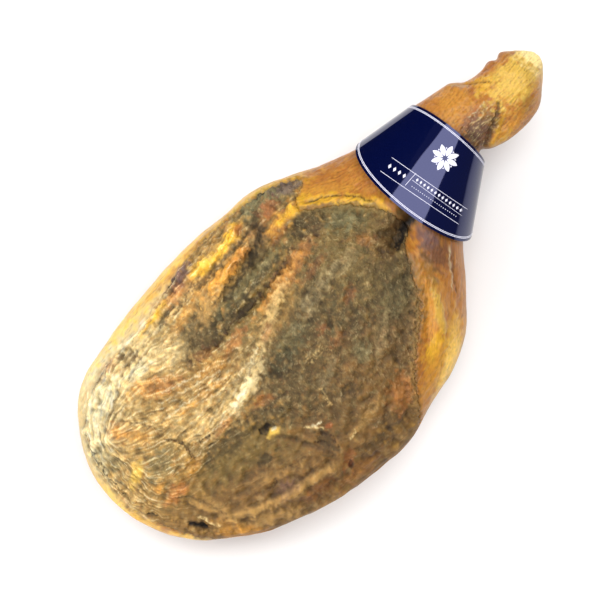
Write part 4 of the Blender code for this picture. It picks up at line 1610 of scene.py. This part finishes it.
def make_camera():
    """A camera straight above the ham, with a long lens."""
    camera = bpy.data.cameras.new("camera")
    camera.lens = LENS
    camera.dof.use_dof = False
    distance = VIEW_WIDTH * LENS / camera.sensor_width
    eye = put_in_scene("camera", camera)
    eye.location = Vector(placed(np.array(VIEW_MIDDLE))) + Vector((0, 0, distance))
    eye.rotation_euler = (0, 0, -HAM_TURN_IN_VIEW)
    bpy.context.scene.camera = eye


def make_light():
    """Soft light from high on the left of the photograph, a wide box overhead, and a dim room."""
    for name, settings in SOFTBOXES.items():
        softbox(name, *settings)
    world = bpy.data.worlds.new("room")
    world.use_nodes = True
    world.node_tree.nodes["Background"].inputs["Color"].default_value = ROOM_GLOW
    bpy.context.scene.world = world
    bpy.context.scene.view_settings.view_transform = "Standard"


def finish_piece(piece, material, node):
    """Gives a piece its material, hides the solid's part that it replaces, and lets it move with the ham.
    """
    piece.data.materials.append(material)
    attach(piece, "root")
    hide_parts(node)


BODY_END, SHANK_START = 462.0, 454.0
SHANK_HEART = (30, 75)
# The body's rings are finer at the butt and before the collar: start, end and how many.
BODY_STRETCHES = [(2.4, 60, 49), (60, 240, 71), (240, 400, 110)]
BODY_COLUMNS = 400
BODY_FINENESS = (0.5, 2.2, 2.2, 1.0)
SHANK_ROWS, SHANK_COLUMNS = 300, 320

rind = salted_rind()
body_turns = even_turns(BODY_COLUMNS + 1, 0, 2 * math.pi, BODY_FINENESS)[:-1]
body_along = np.concatenate([
    [0.4, 1.2],
    *(np.linspace(*stretch)[:-1] for stretch in BODY_STRETCHES),
    np.linspace(400, BODY_END, 12),
])
body = tube_piece(
    "rind_and_fat", body_along, body_turns, (0.0, *BUTT["tip"]), (BODY_END, *SHANK_HEART), sunk=True)
finish_piece(body, rind, "ham")
lean = air_dried_lean()
for face in face_pieces():
    finish_piece(face, lean, "ham")
shank_turns = 2 * math.pi * np.arange(SHANK_COLUMNS) / SHANK_COLUMNS
shank_along = crowded(SHANK_START, DRAWN_LENGTH - 0.25, SHANK_ROWS, 0.5)
shank = tube_piece(
    "skinned_shank", shank_along, shank_turns, (SHANK_START, *SHANK_HEART),
    (DRAWN_LENGTH, *HOCK["tip"]), sunk=False)
finish_piece(shank, rind, "ham")

finish_piece(card_piece(), laminated_card(), "collar")
ink = white_print()
for printed in (keylines(), collar_print()):
    finish_piece(printed, ink, "collar")

make_floor()
make_flag()
make_light()
make_camera()
